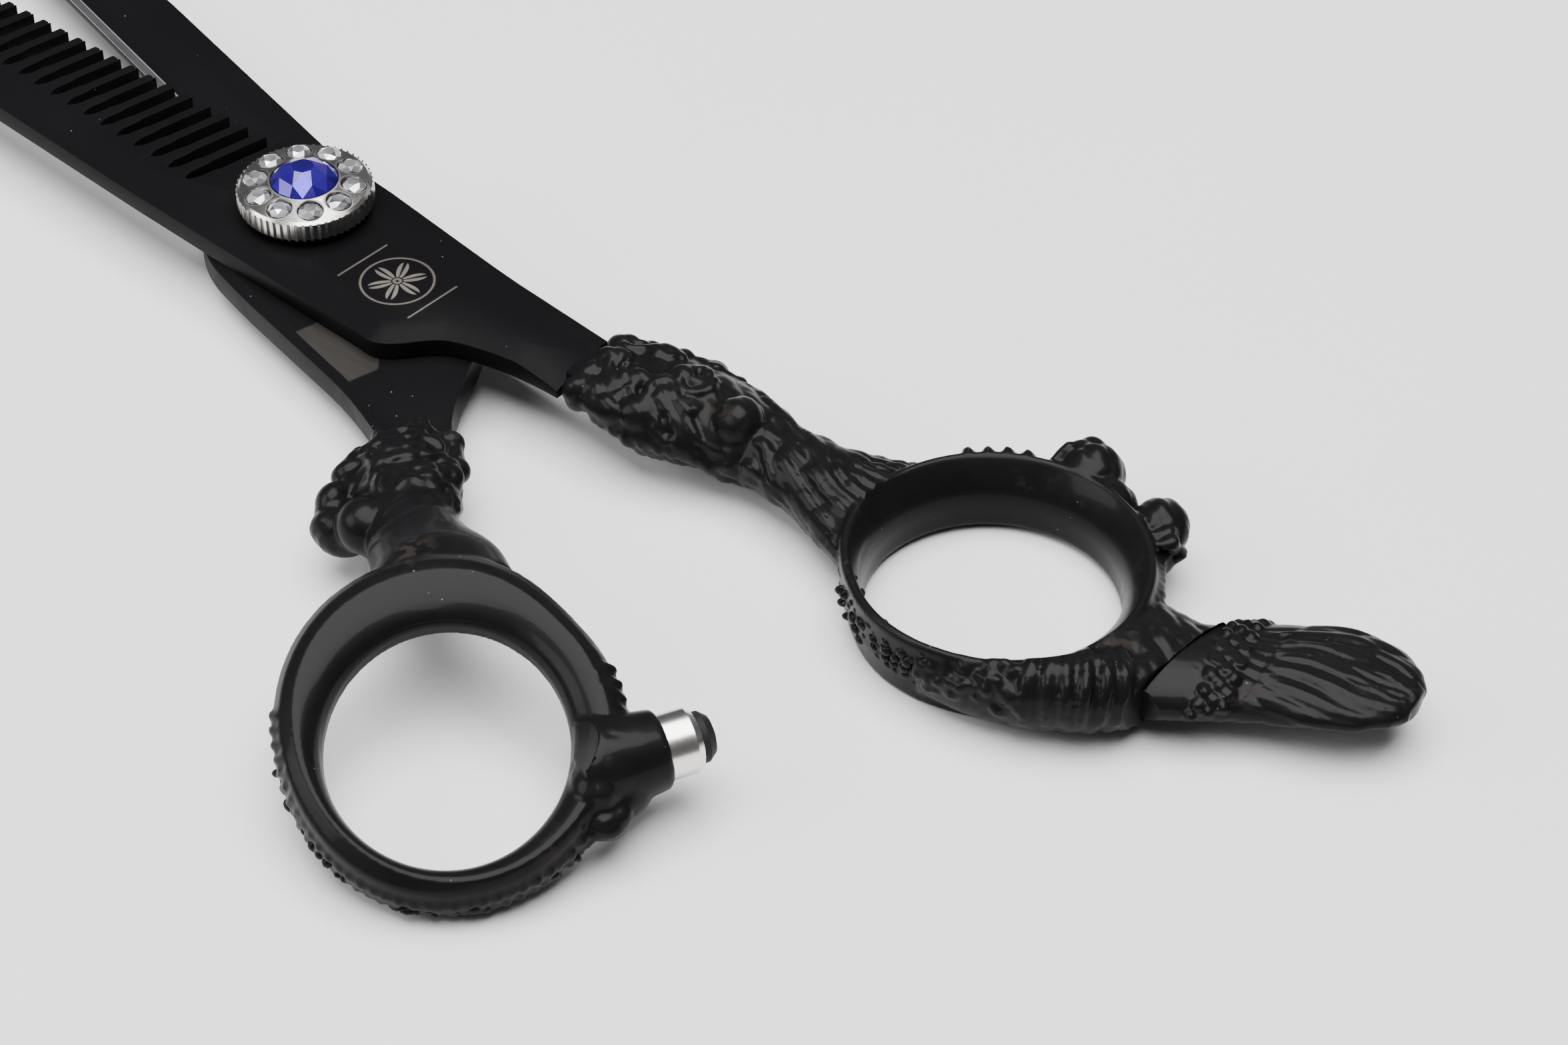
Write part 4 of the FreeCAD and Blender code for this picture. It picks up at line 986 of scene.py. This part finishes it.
# %% Beads along a line
beads, given = tree_with("beads_along", {"Spacing": "Float", "Size": "Float"})
curve = node_in(beads, "GeometryNodeMeshToCurve", {0: given["Geometry"]})
even = node_in(beads, "GeometryNodeResampleCurve", {
    "Curve": curve, "Length": given["Spacing"]}, mode="LENGTH")
bead = node_in(beads, "GeometryNodeMeshUVSphere", {
    "Segments": 8, "Rings": 6, "Radius": given["Size"]})
scale = node_in(beads, "FunctionNodeRandomValue", {
    0: (0.6, 0.7, 0.6), 1: (1.5, 1.3, 1.1), "Seed": 4}, data_type="FLOAT_VECTOR")
ahead = node_in(beads, "GeometryNodeInputTangent")
facing = node_in(beads, "FunctionNodeAlignRotationToVector", {"Vector": ahead}, axis="X")
shift = node_in(beads, "FunctionNodeRandomValue", {
    0: (-0.0004, -0.0004, -0.0003), 1: (0.0004, 0.0004, 0.0003), "Seed": 9},
    data_type="FLOAT_VECTOR")
uneven = node_in(beads, "GeometryNodeSetPosition", {0: even, "Offset": shift})
end_tree(beads, given, node_in(beads, "GeometryNodeInstanceOnPoints", {
    "Points": uneven, "Instance": bead, "Rotation": facing, "Scale": scale}))

for row, (radius, height, start, end, size) in enumerate((
        (13.4, 6.1, 46, 112, 0.45), (13.55, 5.4, 34, 130, 0.55), (13.6, 4.6, 28, 136, 0.55),
        (13.55, 3.7, 32, 136, 0.5), (13.4, 2.9, 38, 100, 0.45))):
    path = [on_ring(degrees, radius - 0.95 * near_side(math.radians(degrees)), height)
            for degrees in range(start, end, 2)]
    grown(f"finger_scales_{row}", beads, {"Spacing": 1.9 * size * MM, "Size": size * MM},
          finger_coat, "finger_half", path, smooth=True)
rim = [ring_point(degrees, wall_at(degrees) - 0.25, -0.7) for degrees in range(-100, 60, 2)]
grown("thumb_scales", beads, {"Spacing": 0.9 * MM, "Size": 0.5 * MM}, thumb_coat,
      "thumb_half", rim, smooth=True)

# %% [markdown]
# The knob is bright nickel. Its knurls are straight ridges cut round the side, so each is a long
# three-sided prism with one corner facing out. The prisms sink into the turned body of the knob.

# %% Knob finish and knurls
STONES = 10
STONE_RING = 0.00475
nickel = Finish("knob_nickel", Metallic=1.0)
scratch = nickel.noise(1400, 3, 0.6, nickel.turned(0, (1, 1, 0.1)))
haze = nickel.noise(300, 3)
x, y, z = nickel.axes()
across = (x * x + y * y).maths("SQRT")
share = y.maths("ARCTAN2", x) * (STONES / ROUND)
swing = ((share + 20.5).maths("FRACT") - 0.5) * across * (ROUND / STONES)
seat = ((across - STONE_RING) * (across - STONE_RING) + swing * swing).maths("SQRT")
# The rings where the stones sit in the knob are painted shade in the seams between stone and metal.
joint = seat.near(0.00128, 0.00012) * z.above(0.0108, 0.0002)
well = across.near(0.0033, 0.0002) * z.above(0.0112, 0.0002)
seam_shade = (joint + well * 0.8).clamped()
colour = nickel.mix(haze, (0.62, 0.6, 0.57), (0.72, 0.7, 0.67))
# The painted seam shade darkens the nickel to near black in those rings.
nickel.feed(Base_Color=nickel.mix(seam_shade * 0.85, colour, (0.03, 0.028, 0.027)),
            Roughness=0.13 + scratch * 0.12 + seam_shade * 0.3)
nickel.bump(scratch, 0.00001, 0.4)
nickel.wear(NODES["knob_body"])

knurls, given = tree_with("knurls_round", {
    "Count": "Int", "Radius": "Float", "Height": "Float", "Width": "Float", "Lift": "Float"})
prism = node_in(knurls, "GeometryNodeMeshCylinder", {
    "Vertices": 3, "Radius": given["Width"], "Depth": given["Height"]})
where = node_in(knurls, "GeometryNodeInputPosition")
facing = node_in(knurls, "FunctionNodeAlignRotationToVector", {"Vector": where}, axis="Y")
on_a_circle(knurls, given, prism, facing)
low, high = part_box("knob_body")
grown("knob_knurls", knurls, {
    "Count": 56, "Radius": high.x - 0.0003, "Height": 0.0018, "Width": 0.00052,
    "Lift": low.z + 0.0011}, nickel, "tension_knob")

# %% [markdown]
# ## Cut stones
# A cut stone is a flat top, rings of flat facets and a girdle. Foil behind it throws light back, so
# each facet looks like a small tinted mirror. The facets are real flat faces here, and a face
# attribute gives each a random brightness: painted reflection. That survives export better than
# true refraction.

# %% Stone cutter
def corners(count, radius, height, turn=0.0):
    """Points round a circle at a height, the first one turned by so many radians."""
    angles = [ROUND * k / count + turn for k in range(count)]
    return [(radius * math.cos(angle), radius * math.sin(angle), height) for angle in angles]


def stone_mesh(name, radius, depth, crown, table, sides, seed):
    """A round stone with flat facets, its girdle at height 0."""
    form = bmesh.new()
    rows = [corners(sides, table, crown),
            corners(sides, 0.56 * (table + radius), 0.55 * crown, math.pi / sides),
            corners(2 * sides, radius, 0.0), corners(2 * sides, 0.94 * radius, -depth)]
    top, waist, girdle, under = ([form.verts.new(point) for point in row] for row in rows)
    form.faces.new(top)
    for k in range(sides):
        after = (k + 1) % sides
        form.faces.new((top[k], waist[k], top[after]))
        form.faces.new((waist[k - 1], girdle[2 * k], waist[k], top[k]))
        form.faces.new((waist[k], girdle[2 * k], girdle[2 * k + 1]))
        form.faces.new((waist[k], girdle[2 * k + 1], girdle[(2 * k + 2) % (2 * sides)]))
    for k in range(2 * sides):
        after = (k + 1) % (2 * sides)
        form.faces.new((girdle[after], girdle[k], under[k], under[after]))
    form.faces.new(under[::-1])
    bmesh.ops.recalc_face_normals(form, faces=form.faces)
    mesh = bpy.data.meshes.new(name)
    form.to_mesh(mesh)
    form.free()
    dice = np.random.default_rng(seed)
    # Each face gets a random value that sets its brightness: painted reflection of light on the
    # facets.
    facet_glint = mesh.attributes.new("facet_glint", "FLOAT", "FACE")
    facet_glint.data.foreach_set("value", dice.uniform(0, 1, len(mesh.polygons)))
    return mesh


def stone_finish(name, stops, rough):
    """Tinted facets, each with its own painted reflection brightness."""
    finish = Finish(name, IOR=1.7)
    facet_glint = finish.node("ShaderNodeAttribute", attribute_name="facet_glint", output="Fac")
    depth = finish.noise(420, 1)
    # The facet brightness here is painted reflection; the noise adds a little unevenness inside the
    # stone.
    shade = (facet_glint * 0.8 + depth * 0.3).clamped()
    finish.feed(Base_Color=finish.node("ShaderNodeValToRGB", {0: shade}, stops=stops),
                Roughness=rough + depth * 0.04, Metallic=0.25 + facet_glint * 0.5)
    return finish


# The sapphire's blue is its own colour; the spread from dark to bright facets is painted
# reflection.
sapphire = stone_finish("blue_crystal", (
    (0.0, (0.003, 0.001, 0.03)), (0.45, (0.02, 0.006, 0.17)), (0.8, (0.05, 0.02, 0.4)),
    (1.0, (0.13, 0.07, 0.7))), 0.05)
# The clear stone's black to white facets are painted reflection; it has no colour of its own.
clear = stone_finish("clear_crystal", (
    (0.0, (0.012, 0.012, 0.015)), (0.35, (0.1, 0.1, 0.11)), (0.6, (0.55, 0.55, 0.57)),
    (1.0, (1.0, 1.0, 1.0))), 0.04)
print("stone finishes ready")

# %% Centre stone and rim stones
BELOW = 0.0008
low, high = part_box("centre_crystal")
mesh = stone_mesh("centre_stone", 0.5 * (high.x - low.x), BELOW, 0.0015, 0.0011, 8, 3)
mesh.transform(Matrix.Translation((0, 0, low.z + BELOW)))
centre_stone = linked("centre_stone", mesh)
handed_over(centre_stone, sapphire, "tension_knob", "centre_crystal")

mesh = stone_mesh("small_stone", 0.0012, 0.0004, 0.0005, 0.00062, 6, 8)
pattern = bpy.data.objects.new("small_stone", mesh)
stones, given = tree_with("stones_round", {"Count": "Int", "Radius": "Float", "Lift": "Float"})
cut = node_in(stones, "GeometryNodeObjectInfo", {"Object": pattern}, output="Geometry")
spin = node_in(stones, "FunctionNodeRandomValue", {2: 0.0, 3: 6.28, "Seed": 2}, output=1,
            data_type="FLOAT")
on_a_circle(stones, given, cut, node_in(stones, "ShaderNodeCombineXYZ", {"Z": spin}))
grown("rim_stones", stones, {
    "Count": STONES, "Radius": STONE_RING, "Lift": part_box("rim_crystals")[0].z + 0.00075},
    clear, "tension_knob", node="rim_crystals")
bpy.data.objects.remove(pattern)

# %% [markdown]
# ## Bumper and small metal parts
# The bumper's sleeve is bright plated brass with turned lines, and its pad is dull rubber. The
# screws, bush and washers are mostly hidden, but each still has its own metal.

# %% Bumper finishes
plating = Finish("sleeve_plating", Metallic=1.0)
x, y, z = plating.axes(plating.turned(-BOSS_TURN))
turning = plating.node("ShaderNodeTexNoise", {"W": x * 9000, "Scale": 1.0, "Detail": 2.0},
                       noise_dimensions="1D")
haze = plating.noise(500, 2)
plating.feed(Base_Color=plating.mix(haze, (0.72, 0.7, 0.66), (0.84, 0.82, 0.79)),
             Roughness=0.16 + turning * 0.14)
plating.bump(turning, 0.00001, 0.5)
plating.wear(NODES["bumper_sleeve"])

rubber = Finish("pad_rubber", IOR=1.45, Specular_IOR_Level=0.15)
cloud = rubber.noise(900, 4, 0.7)
rubber.feed(Base_Color=rubber.mix(cloud, (0.006, 0.006, 0.0065), (0.018, 0.018, 0.019)),
            Roughness=0.45 + cloud * 0.25)
rubber.bump(cloud, 0.00003, 0.5)
rubber.wear(NODES["bumper_pad"])
print("bumper finishes ready")

# %% Hidden metals
def turned_metal(name, dark, light, node):
    """Bare metal with turning marks and a little stain."""
    finish = Finish(name, Metallic=1.0)
    marks = finish.noise(1800, 3, 0.6, finish.turned(20, (1, 0.15, 1)))
    stain = finish.noise(260, 3)
    finish.feed(Base_Color=finish.mix(stain, dark, light), Roughness=0.28 + marks * 0.15)
    finish.bump(marks, 0.00001, 0.4)
    finish.wear(NODES[node])


turned_metal("bush_bronze", (0.36, 0.22, 0.1), (0.55, 0.36, 0.18), "pivot_bush")
turned_metal("insert_brass", (0.5, 0.36, 0.16), (0.68, 0.52, 0.26), "knob_insert")
for name, node in (("stud_steel", "finger_rest_stud"), ("bumper_screw_steel", "bumper_screw"),
                   ("pressure_steel", "pressure_washer"), ("spring_steel", "tension_spring"),
                   ("keyed_steel", "keyed_washer"), ("ball_steel", "click_ball")):
    turned_metal(name, (0.34, 0.34, 0.35), (0.56, 0.56, 0.57), node)
glide = Finish("glide_polymer", IOR=1.46)
cloud = glide.noise(700, 3)
glide.feed(Base_Color=glide.mix(cloud, (0.55, 0.54, 0.5), (0.68, 0.67, 0.63)),
           Roughness=0.4 + cloud * 0.15)
glide.wear(NODES["glide_washer"])
screw_coat, colour, rough = satin("screw_coat")
screw_coat.feed(Base_Color=colour, Roughness=rough)
screw_coat.wear(NODES["pivot_screw"])
print("hidden metals ready")

# %% [markdown]
# ## The table
# A plain pale sheet with the faintest mottling, attached to no body, so that it isn't part of the
# shears. It lies a hair below them.

# %% Table
REACH = 2.0
BENEATH = -0.00003
sheet = bpy.data.meshes.new("table")
sheet.from_pydata([(x, y, BENEATH) for x, y in (
    (-REACH, -REACH), (REACH, -REACH), (REACH, REACH), (-REACH, REACH))], [], [(0, 1, 2, 3)])
table = linked("table", sheet)
paper = Finish("pale_table", IOR=1.4)
mottle = paper.noise(25, 4)
paper.feed(Base_Color=paper.mix(mottle, (0.77, 0.755, 0.765), (0.8, 0.785, 0.795)),
           Roughness=0.6 + mottle * 0.1)
paper.wear(table)
print("table ready")
